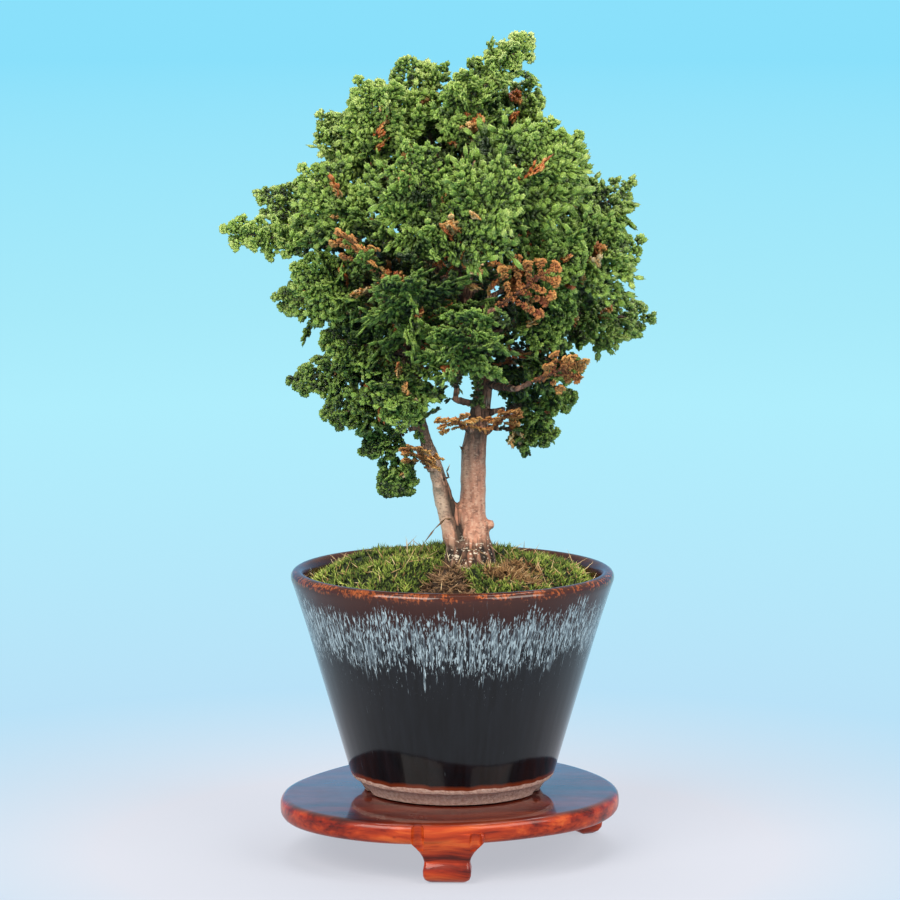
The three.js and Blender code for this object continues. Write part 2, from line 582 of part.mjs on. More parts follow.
// One spray: a four-sided twig that widens to a rib, with a thin leaflet between rib stations.
function sprayGeometry(plan, leaflets) {
  const points = [];
  const faces = [];
  const slim = THREE.MathUtils.clamp(plan.length / spray.length, spray.leastSlim, 1);
  const stationAt = (share, wide, thick) => {
    const { rib, face, side } = frameAt(plan, share);
    const first = points.length;
    points.push(offset(rib, side, -wide), offset(rib, face, thick));
    points.push(offset(rib, side, wide), offset(rib, face, -thick));
    return { left: first, over: first + 1, right: first + 2, below: first + 3 };
  };
  const root = stationAt(0, spray.twigRadius, spray.twigRadius);
  const stations = [];
  for (let i = 0; i <= spray.pairs; i += 1) {
    const share = THREE.MathUtils.lerp(spray.twigShare, spray.ribShare, i / spray.pairs);
    stations.push(stationAt(share, spray.ribWidth * slim, spray.ribThickness * slim));
  }
  faces.push(root.left, root.right, root.over, root.left, root.below, root.right);
  const skin = (from, to) => {
    for (const [a, b] of [['over', 'left'], ['right', 'over'], ['below', 'right'], ['left', 'below']]) {
      faces.push(from[b], from[a], to[b], from[a], to[a], to[b]);
    }
  };
  skin(root, stations[0]);
  const fan = (loop, centre, flipped) => {
    loop.forEach((corner, i) => {
      const next = loop[(i + 1) % loop.length];
      faces.push(...(flipped ? [centre, next, corner] : [centre, corner, next]));
    });
  };
  const addLeaflet = (leaflet, fromEdge, toEdge, overRib, belowRib, flipped) => {
    const rim = crest.map(([share, across]) => points.push(leafletPoint(leaflet, share, across)) - 1);
    const middle = leafletPoint(leaflet, leafletShape.middle, 0);
    const over = points.push(offset(middle, leaflet.face, spray.leafThickness * slim)) - 1;
    const below = points.push(offset(middle, leaflet.face, -spray.leafThickness * slim)) - 1;
    fan([...overRib, fromEdge, ...rim, toEdge], over, flipped);
    fan([...belowRib, fromEdge, ...rim, toEdge], below, !flipped);
  };
  for (let i = 0; i < spray.pairs; i += 1) {
    const [near, far] = [stations[i], stations[i + 1]];
    const [left, right] = [leaflets[2 * i], leaflets[2 * i + 1]];
    addLeaflet(left, near.left, far.left, [far.over, near.over], [far.below, near.below], true);
    addLeaflet(right, near.right, far.right, [far.over, near.over], [far.below, near.below], false);
  }
  const end = stations.at(-1);
  addLeaflet(leaflets.at(-1), end.left, end.right, [end.over], [end.below], true);
  return geometryOf(points, faces);
}

// Marks over a spray or along a stem, with which crossings between neighbours are found.
function withBounds(marks, room) {
  const centre = marks.reduce((sum, mark) => sum.add(mark), new THREE.Vector3()).divideScalar(marks.length);
  const radius = Math.max(...marks.map((mark) => mark.distanceTo(centre)));
  return { marks, room, centre, radius };
}

function curveMarks(curve, room, from, to) {
  const steps = Math.ceil(curve.getLength() / clearance.markStep);
  const marks = [];
  for (let i = 0; i <= steps; i += 1) marks.push(curve.getPoint(THREE.MathUtils.lerp(from, to, i / steps)));
  return withBounds(marks, room);
}

function leafletMarks(leaflet) {
  const marks = [];
  const steps = Math.ceil(leaflet.length / clearance.markStep);
  for (let i = 1; i <= steps; i += 1) {
    for (const across of [-0.9, -0.3, 0.3, 0.9]) marks.push(leafletPoint(leaflet, i / steps, across));
  }
  return withBounds(marks, clearance.leaflet);
}

function crosses(group, others) {
  return others.some((other) => {
    const room = group.room + other.room;
    if (group.centre.distanceTo(other.centre) > group.radius + other.radius + room) return false;
    return group.marks.some((mark) => other.marks.some((far) => mark.distanceToSquared(far) < room * room));
  });
}

// Shortens each leaflet until it crosses nothing, and says how much of their length is left.
function trimLeaflets(leaflets, obstacles) {
  const marks = [];
  let kept = 0;
  for (const leaflet of leaflets) {
    const [full, fullWidth] = [leaflet.length, leaflet.halfWidth];
    const share = trims.find((trim) => {
      leaflet.length = full * trim;
      const narrowed = fullWidth * THREE.MathUtils.lerp(leafletShape.trimmedWidth, 1, trim);
      leaflet.halfWidth = Math.min(narrowed, leaflet.length * leafletShape.widest);
      return !crosses(leafletMarks(leaflet), obstacles);
    });
    if (share === undefined) return { kept: 0, marks };
    marks.push(leafletMarks(leaflet));
    kept += share / leaflets.length;
  }
  return { kept, marks };
}

// Grows the sprays one by one, each in the first of its positions that leaves it full enough.
function growSprays() {
  const faces = [[0.4, -0.8, 0.5], [-0.4, -0.8, 0.5]];
  const grown = [];
  const stems = [mainTrunk, leftTrunk].map((line) => {
    const curve = new THREE.CatmullRomCurve3(line.slice(1).map(vector));
    return curveMarks(curve, line[4][3] + clearance.stem, 0, 1);
  });
  const blades = [];
  const allPlans = [
    ...outlineSprays.map((plan, i) => ({ kind: 'green', face: faces[i % 2], ...plan })),
    ...deadSprays.map((plan) => ({ ...plan, kind: 'dead' })),
    ...fillPlans().map((plan) => ({ ...plan, kind: 'green' })),
  ];
  allPlans.forEach((short, index) => {
    if (grown.length >= fill.mostSprays) return;
    const plan = { swing: 0, rise: 0.25, spread: 1, length: spray.length, ...short };
    for (let attempt = 0; attempt < swings.length; attempt += 1) {
      const placed = layOut(plan, attempt);
      if (!placed.fits) continue;
      const twig = curveMarks(placed.axis, spray.twigRadius + clearance.stem, 0, spray.ribShare);
      const limb = curveMarks(placed.branchLine, branch.radii[0] + clearance.stem, 0.12, 0.95);
      if (crosses(twig, [...stems, ...blades]) || crosses(limb, blades)) continue;
      const leaflets = makeLeaflets(placed, index);
      const { kept, marks } = trimLeaflets(leaflets, [...stems, ...blades]);
      if (kept < fill.leastKept) continue;
      blades.push(twig, ...marks);
      stems.push(limb);
      grown.push({ plan: placed, leaflets });
      return;
    }
  });
  return grown;
}

const grownSprays = growSprays();

function trunkGeometry() {
  const radiiOf = (line) => line.map((knot) => knot[3]);
  const pieces = [stem(mainTrunk.map(vector), radiiOf(mainTrunk), trunkSides.main)];
  pieces.push(stem(leftTrunk.map(vector), radiiOf(leftTrunk), trunkSides.left));
  for (const { from, to, radii } of stubs) {
    pieces.push(stem([vector(from), vector(to)], radii, trunkSides.stub));
  }
  for (const { plan } of grownSprays) {
    pieces.push(stem(plan.limb, branch.radii, branch.sides));
  }
  return joined(pieces);
}

// Assembly

const part = new THREE.Group();
function add(name, geometry, surface) {
  const mesh = new THREE.Mesh(geometry, surface);
  mesh.name = name;
  part.add(mesh);
}

add('stand', standGeometry(), lacquer);
add('pot', potGeometry(), glaze);
add('drain_net', netGeometry(), plastic);
add('soil', soilGeometry(), earth);
mossCushions.forEach((cushion, index) => {
  const surface = cushion.name === 'moss_dry_patch' ? dryMoss : moss;
  add(cushion.name, mossGeometry(cushion, index), surface);
});
add('trunk', trunkGeometry(), bark);
const counts = { green: 0, dead: 0 };
for (const { plan, leaflets } of grownSprays) {
  counts[plan.kind] += 1;
  const name = `spray_${plan.kind}_${String(counts[plan.kind]).padStart(2, '0')}`;
  add(name, sprayGeometry(plan, leaflets), plan.kind === 'dead' ? deadFoliage : foliage);
}

// The finished part stands over its origin, which is the middle of its bounding box's bottom.
const box = new THREE.Box3().setFromObject(part);
const middle = box.getCenter(new THREE.Vector3());
part.position.set(-middle.x, -middle.y, 0);
part.updateMatrixWorld(true);

export default part;
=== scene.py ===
# Sekka hinoki cypress bonsai in a glazed pot on a lacquered stand: the fine pieces and their looks.
import math

import bmesh
import bpy
import numpy as np
from mathutils import Matrix, Vector, noise
from numpy.linalg import norm


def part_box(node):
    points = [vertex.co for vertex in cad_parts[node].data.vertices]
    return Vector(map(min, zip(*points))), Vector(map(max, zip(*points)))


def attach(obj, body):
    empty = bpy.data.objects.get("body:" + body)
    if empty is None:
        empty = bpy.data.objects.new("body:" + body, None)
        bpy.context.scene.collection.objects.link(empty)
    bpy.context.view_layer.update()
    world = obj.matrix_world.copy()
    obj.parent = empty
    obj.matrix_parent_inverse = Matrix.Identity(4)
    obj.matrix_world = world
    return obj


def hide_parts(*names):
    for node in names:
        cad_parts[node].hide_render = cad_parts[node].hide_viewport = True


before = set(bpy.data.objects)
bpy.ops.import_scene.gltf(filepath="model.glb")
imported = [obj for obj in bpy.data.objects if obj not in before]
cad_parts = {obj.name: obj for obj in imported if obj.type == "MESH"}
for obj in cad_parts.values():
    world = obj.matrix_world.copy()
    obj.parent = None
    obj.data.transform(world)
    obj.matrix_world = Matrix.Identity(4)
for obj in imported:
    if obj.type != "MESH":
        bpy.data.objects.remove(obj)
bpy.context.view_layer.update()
mm = 0.001
potLow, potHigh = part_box("pot")
axisX = (potLow.x + potHigh.x) / 2  # the pot's upright axis
axisY = (potLow.y + potHigh.y) / 2

# Camera, as the photograph was taken
photo = {"distance": 0.85, "height": 0.202, "pitch": 7.2, "lens": 146.4, "aside": -0.00058}

cameraData = bpy.data.cameras.new("camera")
cameraData.lens = photo["lens"]
cameraData.sensor_width = 36
cameraData.clip_start = 0.01
camera = bpy.data.objects.new("camera", cameraData)
bpy.context.scene.collection.objects.link(camera)
camera.location = (axisX + photo["aside"], axisY - photo["distance"], photo["height"])
camera.rotation_euler = (math.radians(90 - photo["pitch"]), 0, 0)
bpy.context.scene.camera = camera
bpy.context.scene.view_settings.view_transform = "Standard"
print("camera placed")


# Helpers for shader trees

def colour(text):
    parts = [int(text[i:i + 2], 16) / 255 for i in (1, 3, 5)]
    return tuple(p / 12.92 if p <= 0.04045 else ((p + 0.055) / 1.055) ** 2.4 for p in parts) + (1,)


def grey(value):
    return (value, value, value, 1)


class Shader:
    # One tree. Each call adds a node and gives back what comes out of it.
    def __init__(self, tree):
        self.tree = tree
        self.count = 0

    def give(self, socket, value):
        if isinstance(value, bpy.types.NodeSocket):
            self.tree.links.new(value, socket)
        else:
            socket.default_value = value

    def node(self, kind, values=None, **settings):
        made = self.tree.nodes.new(kind if kind.startswith("Node") else "ShaderNode" + kind)
        made.location = (220 * (self.count % 12), -260 * (self.count // 12))  # in rows of 12
        self.count += 1
        for key, value in settings.items():
            setattr(made, key, value)
        for key, value in (values or {}).items():
            self.give(made.inputs[key], value)
        return made

    def maths(self, operation, *values):
        return self.node("Math", dict(enumerate(values)), operation=operation).outputs[0]

    def times(self, first, second):
        return self.maths("MULTIPLY", first, second)

    def most(self, first, second):
        return self.maths("MAXIMUM", first, second)

    def plus(self, value, pattern, amount):
        return self.maths("MULTIPLY_ADD", pattern, amount, value)

    def vary(self, value, pattern, amount):
        # Raised and lowered by a pattern whose middle is 0.5
        return self.plus(value, self.maths("SUBTRACT", pattern, 0.5), amount)

    def vector(self, operation, *values):
        made = self.node("VectorMath", dict(enumerate(values)), operation=operation)
        return made.outputs["Value" if operation == "LENGTH" else "Vector"]

    def join(self, x, y, z):
        return self.node("CombineXYZ", {0: x, 1: y, 2: z}).outputs[0]

    def split(self, vector):
        return self.node("SeparateXYZ", {0: vector}).outputs

    def mix(self, share, first, second):
        tones = [colour(tone) if isinstance(tone, str) else tone for tone in (first, second)]
        return self.node("Mix", {0: share, 6: tones[0], 7: tones[1]}, data_type="RGBA").outputs[2]

    def ramp(self, share, stops):
        made = self.node("ValToRGB", {0: share})
        points = made.color_ramp.elements
        while len(points) < len(stops):
            points.new(0.5)
        for point, (place, tone) in zip(points, stops):
            point.position = place
            point.color = colour(tone)
        return made.outputs[0]

    def fade(self, value, low, high, start=0.0, end=1.0):
        made = self.node("MapRange", {0: value, 1: low, 2: high, 3: start, 4: end}, clamp=True)
        return made.outputs[0]

    def place(self):
        return self.node("TexCoord").outputs["Object"]

    def fromAxis(self, place):
        # Sideways, depth and height from the foot of the pot's axis
        centred = self.node("Mapping", {"Vector": place, "Location": (-axisX, -axisY, 0.0)})
        return self.split(centred.outputs[0])

    def drawn(self, place, scale):
        return self.node("Mapping", {"Vector": place, "Scale": scale}).outputs[0]

    def noise(self, place, scale, detail, roughness=0.5, distortion=0.0):
        values = {"Vector": place, "Scale": scale, "Detail": detail, "Roughness": roughness}
        return self.node("TexNoise", values | {"Distortion": distortion}).outputs[0]

    def tint(self):
        # The point colours hold: a tone from foot to tip, which on the foliage is age with painted shade and
        # light, then chance, wood, and greenness.
        made = self.node("Attribute", attribute_name="tint").outputs
        return [*self.node("SeparateColor", {0: made["Color"]}).outputs, made["Alpha"]]

    def group(self, name, place, **values):
        made = self.node("Group", node_tree=bpy.data.node_groups[name])
        for key, value in {"place": place, **values}.items():
            self.give(made.inputs[key.capitalize()], value)
        return made.outputs

    def mottle(self, place, **values):
        return self.group("mottle", place, **values)[0]

    def bump(self, height, distance, strength=1.0):
        values = {"Strength": strength, "Distance": distance, "Height": height}
        return self.node("Bump", values).outputs[0]


socketNames = {
    "baseColor": "Base Color", "coatWeight": "Coat Weight", "coatRoughness": "Coat Roughness",
    "subsurface": "Subsurface Weight", "subsurfaceRadius": "Subsurface Radius",
    "subsurfaceScale": "Subsurface Scale", "specular": "Specular IOR Level",
    "glow": "Emission Color", "glowStrength": "Emission Strength",
}


def newMaterial(name):
    material = bpy.data.materials.new(name)
    material.use_nodes = True
    material.node_tree.nodes.clear()
    shader = Shader(material.node_tree)
    surface = shader.node("BsdfPrincipled")
    shader.node("OutputMaterial", {0: surface.outputs[0]})
    return material, shader, surface


def feed(shader, surface, **values):
    for key, value in values.items():
        shader.give(surface.inputs[socketNames.get(key, key.capitalize())], value)


# Shared effects: mottling at two sizes, and small cracks between flakes, which the leaves and the soil darken
# as painted shade

def newGroup(name, inputs, outputs):
    tree = bpy.data.node_groups.new(name, "ShaderNodeTree")
    tree.interface.new_socket("Place", in_out="INPUT", socket_type="NodeSocketVector")
    for label, start in inputs:
        socket = tree.interface.new_socket(label, in_out="INPUT", socket_type="NodeSocketFloat")
        socket.default_value = start
    for label in outputs:
        tree.interface.new_socket(label, in_out="OUTPUT", socket_type="NodeSocketFloat")
    shader = Shader(tree)
    return shader, shader.node("NodeGroupInput").outputs


def makeMottleGroup():
    shader, inside = newGroup("mottle", [("Scale", 100.0), ("Contrast", 1.0), ("Fine", 0.4)], ["Value"])
    coarse = shader.noise(inside["Place"], inside["Scale"], 3.0)
    fine = shader.noise(inside["Place"], shader.times(inside["Scale"], 5.0), 2.0)
    both = shader.vary(coarse, fine, inside["Fine"])
    wide = shader.vary(0.5, both, inside["Contrast"])
    shader.node("NodeGroupOutput", {0: shader.maths("MINIMUM", shader.most(wide, 0.0), 1.0)})


def makeFlakeGroup():
    shader, inside = newGroup("flakes", [("Scale", 500.0), ("Stretch", 0.3)], ["Edge", "Shade"])
    stretched = shader.vector("MULTIPLY", inside["Place"], shader.join(1.0, 1.0, inside["Stretch"]))
    cells = {"Vector": stretched, "Scale": inside["Scale"]}
    edge = shader.node("TexVoronoi", cells, feature="DISTANCE_TO_EDGE").outputs["Distance"]
    shade = shader.node("TexVoronoi", cells, feature="F1").outputs["Color"]
    grain = shader.node("SeparateColor", {0: shade}).outputs[0]
    shader.node("NodeGroupOutput", {0: shader.fade(edge, 0.0, 0.22), 1: grain})


makeMottleGroup()
makeFlakeGroup()


# Foliage, green and dead

foliageTones = {
    "deep": "#24360f", "body": "#84a43c", "light": "#aec162", "lime": "#c6d283",
    "twig": "#6f4a34", "dark": "#33231a",
}
deadTones = {
    "deep": "#8a4020", "body": "#d08442", "light": "#e4a557", "lime": "#f2d096",
    "twig": "#8d5a3c", "dark": "#4a2a1c",
}
witheredStops = [(0.0, "#8a3216"), (0.3, "#c4662c"), (0.6, "#d9a055"), (1.0, "#e8cb95")]
ageAndShadeStops = {"deep": 0.05, "body": 0.36, "light": 0.68, "lime": 0.98}


def makeLeafMaterial(name, tones, gloss):
    material, shader, surface = newMaterial(name)
    place = shader.place()
    toneShare, chance, wood, greenness = shader.tint()
    mottle = shader.mottle(place, scale=150.0, contrast=1.7, fine=0.5)
    # Age and painted shade set where on the green ramp a point falls
    ageAndShade = shader.vary(shader.vary(toneShare, mottle, 0.34), chance, 0.3)
    green = shader.ramp(ageAndShade, [(stop, tones[tone]) for tone, stop in ageAndShadeStops.items()])
    withered = shader.ramp(shader.vary(chance, mottle, 0.5), witheredStops)
    leaf = shader.mix(greenness, withered, green)
    scales = shader.group("flakes", place, scale=1900.0, stretch=0.8)["Edge"]
    # Painted shade: darker in the creases between the scale leaves
    leaf = shader.mix(shader.fade(scales, 0.0, 0.5, 0.45, 0.0), leaf, shader.mix(0.6, leaf, tones["deep"]))
    twig = shader.mix(mottle, tones["twig"], tones["dark"])
    feed(shader, surface, baseColor=shader.mix(wood, leaf, twig), specular=0.6,
         roughness=shader.fade(mottle, 0.2, 0.8, gloss, gloss + 0.2),
         subsurface=0.05, subsurfaceRadius=(0.0012, 0.0016, 0.0004), subsurfaceScale=1.0,
         normal=shader.bump(scales, 0.0002, 0.9))
    return material


# Bark

bark = {
    "dark": "#4b3028", "body": "#b97e63", "flake": "#d09c80", "pale": "#e6c6a8", "grey": "#b39c86",
    "old": "#4a3a2e", "wet": "#2c211b", "red": "#5f3325", "redPale": "#a96a50", "lichen": "#d8c6ae",
    # Where each change of the bark starts and ends: places beside the pot's axis, and heights
    "leftTrunk": (-0.0268, -0.0305), "upper": (0.088, 0.108), "inCrown": (0.094, 0.106),
    "fork": (0.0022, 0.0006), "forkTop": (0.094, 0.088), "forkLow": (0.071, 0.074),
    "foot": (0.0775, 0.0735), "wetFoot": (0.0735, 0.0665),
}


def makeBarkMaterial():
    material, shader, surface = newMaterial("cypress bark")
    place = shader.place()
    x, y, height = shader.fromAxis(place)
    strips = shader.group("flakes", place, scale=900.0, stretch=0.22)
    small = shader.group("flakes", place, scale=2100.0, stretch=1.6)
    mottle = shader.mottle(place, scale=120.0, contrast=1.8, fine=0.5)
    streak = shader.noise(shader.drawn(place, (1.0, 1.0, 0.12)), 900.0, 3.0)
    shade = shader.plus(shader.times(mottle, 0.5), streak, 0.55)
    smooth = shader.ramp(shade, [(0.22, bark["dark"]), (0.42, bark["body"]),
                                 (0.62, bark["flake"]), (0.86, bark["pale"])])
    # The second trunk is greyer, the upper wood redder, and small flakes are paler or darker.
    leftward = shader.fade(shader.plus(x, height, -0.35), *bark["leftTrunk"], 0.0, 0.7)
    smooth = shader.mix(leftward, smooth, shader.mix(streak, bark["grey"], bark["pale"]))
    reddish = shader.fade(shader.plus(height, mottle, 0.012), *bark["upper"], 0.0, 0.7)
    smooth = shader.mix(reddish, smooth, shader.mix(streak, bark["red"], bark["redPale"]))
    smooth = shader.mix(shader.fade(small["Shade"], 0.8, 0.88, 0.0, 0.25), smooth, bark["pale"])
    smooth = shader.mix(shader.fade(small["Shade"], 0.16, 0.1, 0.0, 0.4), smooth, bark["dark"])
    # Old bark stands rough and dark in the fork, at the foot and inside the crown; inside the crown its
    # darkness is partly painted shade under the foliage.
    rough = shader.ramp(shader.plus(shader.times(mottle, 0.4), strips["Shade"], 0.6),
                        [(0.1, bark["wet"]), (0.4, bark["old"]), (0.7, bark["body"]), (0.95, bark["pale"])])
    rough = shader.mix(shader.fade(strips["Edge"], 0.0, 0.7, 0.8, 0.0), rough, bark["wet"])
    between = shader.maths("ABSOLUTE", shader.maths("SUBTRACT", shader.plus(x, height, 0.25), 0.0206))
    fork = shader.times(shader.fade(between, *bark["fork"]), shader.fade(height, *bark["forkTop"]))
    fork = shader.times(fork, shader.fade(height, *bark["forkLow"]))
    low = shader.fade(shader.plus(height, mottle, 0.004), *bark["foot"])
    # Partly old rough bark, partly painted shade: the bark inside the crown is darker
    inCrown = shader.fade(shader.plus(height, mottle, 0.01), *bark["inCrown"], 0.0, 0.85)
    patches = shader.fade(mottle, 0.66, 0.74, 0.0, 0.5)
    aged = shader.most(shader.most(fork, low), shader.most(inCrown, patches))
    wood = shader.mix(aged, smooth, rough)
    wood = shader.mix(shader.fade(height, *bark["wetFoot"], 0.0, 0.75), wood, bark["wet"])
    wood = shader.mix(shader.times(shader.fade(small["Shade"], 0.9, 0.94), low), wood, bark["lichen"])
    relief = shader.maths("ADD", shader.times(strips["Edge"], aged), shader.times(small["Edge"], 0.1))
    feed(shader, surface, baseColor=wood, roughness=shader.fade(aged, 0.0, 1.0, 0.55, 0.9), specular=0.35,
         normal=shader.bump(relief, 0.0004, 0.8))
    return material


# Moss and soil

mossTones = ["#1a220c", "#5c702a", "#a3b04c", "#e2e094"]  # from the foot of a shoot to its tip
dryTones = ["#33241a", "#71543a", "#a88360", "#d8bc92"]
strawStops = [(0.1, "#5e4128"), (0.5, "#a37c50"), (0.95, "#dcc092")]
netTones = ("#161a15", "#2b3028")
soilStops = [(0.02, "#120c08"), (0.3, "#33241a"), (0.62, "#5f4833"), (0.95, "#8b7152")]


def makeMossMaterial(name, tones):
    material, shader, surface = newMaterial(name)
    toneShare, chance, straw = shader.tint()[:3]
    mottle = shader.mottle(shader.place(), scale=110.0, contrast=2.4, fine=0.5)
    share = shader.vary(shader.vary(toneShare, mottle, 0.42), chance, 0.36)
    green = shader.ramp(share, list(zip((0.05, 0.4, 0.72, 1.0), tones)))
    feed(shader, surface, baseColor=shader.mix(straw, green, shader.ramp(share, strawStops)),
         roughness=0.85, specular=0.25, subsurface=0.04, subsurfaceRadius=(0.0008, 0.001, 0.0003))
    return material


def makeSoilMaterial():
    material, shader, surface = newMaterial("bonsai soil")
    place = shader.place()
    grains = shader.group("flakes", place, scale=700.0, stretch=1.0)
    mottle = shader.mottle(place, scale=400.0, contrast=1.6, fine=0.6)
    earth = shader.ramp(shader.times(grains["Shade"], mottle), soilStops)
    # Painted shade: darker in the gaps between the grains
    earth = shader.mix(shader.fade(grains["Edge"], 0.0, 0.6, 0.75, 0.0), earth, "#0e0a07")
    feed(shader, surface, baseColor=earth, roughness=0.92, normal=shader.bump(grains["Edge"], 0.0006, 0.9))
    return material


# Glaze: heights of the pale band on the wall, of its drips and of the clay foot, and tones

glaze = {
    "bandTop": 0.0622, "bandFull": 0.0575, "bandLow": 0.0525, "bandEnd": 0.0470, "dripEnd": 0.0425,
    "glazeEnd": 0.0188, "lip": (0.0646, 0.0653), "lipEdge": (0.0371, 0.0378), "brownFade": (0.0530, 0.0625),
    "rimFade": (0.0645, 0.0675),
    "black": "#07080a", "charcoal": "#121418", "brown": "#421b0e", "plum": "#2c120f", "rim": "#3f1f16",
    "rust": "#5d2410", "ember": "#a3552a", "streak": "#bdc8ca", "streakDim": "#565f65",
    "clay": "#b98470", "clayLight": "#e2bba6", "line": "#6e2b14",
    "roughness": 0.1, "streakRoughness": 0.22, "clayRoughness": 0.85,
}


def makeGlazeMaterial():
    material, shader, surface = newMaterial("streaked glaze over clay")
    place = shader.place()
    x, y, height = shader.fromAxis(place)
    level = shader.join(x, y, 0.0)
    aroundPot = shader.vector("NORMALIZE", level)

    def streaks(around, upward, detail, roughness=0.6, leaning=0.0):
        # Noise drawn out down the wall, the same all the way round
        spread = shader.vector("MULTIPLY", aroundPot, (around, around, 0))
        lift = shader.join(0.0, 0.0, shader.times(height, upward))
        return shader.noise(shader.vector("ADD", spread, lift), 1.0, detail, roughness, leaning)

    slow = streaks(4.0, 20.0, 2.0)
    runs = streaks(30.0, 130.0, 2.0)
    fine = streaks(95.0, 560.0, 3.0, 0.62, 0.6)
    flecks = streaks(130.0, 900.0, 2.0, 0.5, 0.8)
    drips = streaks(62.0, 150.0, 2.0, 0.5, 0.3)
    shifted = shader.vary(shader.vary(height, slow, 0.012), runs, 0.008)
    above = shader.fade(shifted, glaze["bandTop"], glaze["bandFull"])
    band = shader.times(above, shader.fade(shifted, glaze["bandEnd"], glaze["bandLow"]))
    density = shader.vary(shader.vary(shader.times(band, 0.44), fine, 4.6), flecks, 1.6)
    streak = shader.times(shader.fade(density, 0.4, 0.66), shader.fade(band, 0.0, 0.3))
    # Drips run down from the band, and end in small flecks.
    falling = shader.times(shader.fade(shifted, glaze["dripEnd"], glaze["bandLow"]), above)
    drip = shader.fade(shader.plus(drips, falling, 0.26), 0.74, 0.84, 0.0, 0.85)
    dots = shader.times(shader.fade(flecks, 0.68, 0.74),
                        shader.fade(shifted, glaze["dripEnd"] - 0.003, glaze["bandEnd"]))
    dots = shader.times(dots, shader.fade(shifted, glaze["bandTop"] + 0.002, glaze["bandFull"]))
    streak = shader.most(streak, shader.most(drip, shader.times(dots, 0.7)))

    charcoal = shader.mix(shader.fade(streaks(16.0, 70.0, 4.0), 0.35, 0.7), glaze["black"], glaze["charcoal"])
    rimward = shader.fade(shader.maths("ADD", height, shader.times(slow, 0.006)), *glaze["rimFade"])
    warm = shader.mix(rimward, shader.mix(fine, glaze["plum"], glaze["brown"]), glaze["rim"])
    body = shader.mix(shader.fade(shader.vary(height, runs, 0.006), *glaze["brownFade"]), charcoal, warm)
    pale = shader.mix(shader.fade(fine, 0.45, 0.7), glaze["streakDim"], glaze["streak"])
    body = shader.mix(streak, body, pale)

    # The glaze breaks to rust on the lip, and thins to a red line above the bare clay foot.
    lip = shader.fade(shader.vary(shader.vary(height, flecks, 0.0045), runs, 0.003), *glaze["lip"])
    radius = shader.vector("LENGTH", level)
    outer = shader.fade(shader.plus(radius, runs, 0.0012), *glaze["lipEdge"])
    worn = shader.mottle(place, scale=230.0, contrast=2.6, fine=1.2)
    rust = shader.times(shader.times(lip, shader.most(outer, 0.12)), shader.fade(worn, 0.56, 0.76, 0.03, 1.0))
    body = shader.mix(rust, body, shader.mix(shader.fade(fine, 0.35, 0.65), glaze["rust"], glaze["ember"]))
    footEdge = shader.vary(height, slow, 0.0016)
    line = shader.fade(footEdge, glaze["glazeEnd"] + 0.0011, glaze["glazeEnd"] + 0.0004)
    foot = shader.fade(footEdge, glaze["glazeEnd"], glaze["glazeEnd"] - 0.0003)
    grit = shader.mottle(place, scale=1300.0, contrast=2.2, fine=0.6)
    body = shader.mix(line, body, glaze["line"])
    body = shader.mix(foot, body, shader.mix(grit, glaze["clay"], glaze["clayLight"]))
    rough = shader.mix(streak, grey(glaze["roughness"]), grey(glaze["streakRoughness"]))
    rough = shader.mix(foot, rough, grey(glaze["clayRoughness"]))
    ripple = shader.maths("ADD", shader.times(slow, 0.5), shader.times(streak, 0.05))
    relief = shader.plus(ripple, shader.times(grit, foot), 0.5)
    feed(shader, surface, baseColor=body, roughness=rough, specular=0.34,
         normal=shader.bump(relief, 0.0005, 0.5))
    return material


# Lacquer over wood. The level top has painted shade: a darker base colour, under a thicker coat that mirrors
# the sky.

lacquer = {
    "stops": [(0.3, "#47120a"), (0.45, "#80220c"), (0.6, "#a83814"), (0.8, "#cc5e28")],
    "pores": "#1f0904", "top": "#1f0604", "topShadeShare": 0.72, "topStart": (0.0131, 0.0138),
}


def makeLacquerMaterial():
    material, shader, surface = newMaterial("lacquered wood")
    place = shader.place()
    bend = shader.node("TexNoise", {"Vector": place, "Scale": 26.0, "Detail": 2.0}).outputs["Color"]
    bent = shader.vector("ADD", place, shader.vector("MULTIPLY", bend, (0.012, 0.012, 0.012)))
    grain = shader.drawn(bent, (0.07, 1.0, 1.5))
    broad = shader.noise(grain, 210.0, 3.0, 0.55)
    fine = shader.noise(grain, 1300.0, 3.0, 0.6)
    wood = shader.ramp(shader.vary(broad, fine, 0.35), lacquer["stops"])
    wood = shader.mix(shader.fade(fine, 0.36, 0.3, 0.0, 0.35), wood, lacquer["pores"])
    mottle = shader.mottle(place, scale=60.0, contrast=1.6, fine=0.3)
    level = shader.fade(shader.split(place)[2], *lacquer["topStart"])
    # Painted shade: the level top's base colour is mixed towards the near-black top tone
    wood = shader.mix(shader.times(level, lacquer["topShadeShare"]), wood, lacquer["top"])
    feed(shader, surface, baseColor=wood, roughness=shader.fade(mottle, 0.2, 0.8, 0.25, 0.4), specular=0.15,
         coatWeight=shader.fade(level, 0.0, 1.0, 0.25, 1.0), coatRoughness=0.05,
         normal=shader.bump(fine, 0.00006, 0.35))
    return material


def makeNetMaterial():
    material, shader, surface = newMaterial("moulded net")
    mottle = shader.mottle(shader.place(), scale=500.0, contrast=1.2, fine=0.5)
    feed(shader, surface, baseColor=shader.mix(mottle, *netTones), roughness=0.6)
    return material


leafMaterial = makeLeafMaterial("crested foliage", foliageTones, 0.37)
deadMaterial = makeLeafMaterial("dead foliage", deadTones, 0.66)
barkMaterial = makeBarkMaterial()
mossMaterial = makeMossMaterial("moss", mossTones)
dryMaterial = makeMossMaterial("dry moss", dryTones)
soilMaterial = makeSoilMaterial()
glazeMaterial = makeGlazeMaterial()
lacquerMaterial = makeLacquerMaterial()
netMaterial = makeNetMaterial()
print("materials made")


# Helpers for meshes

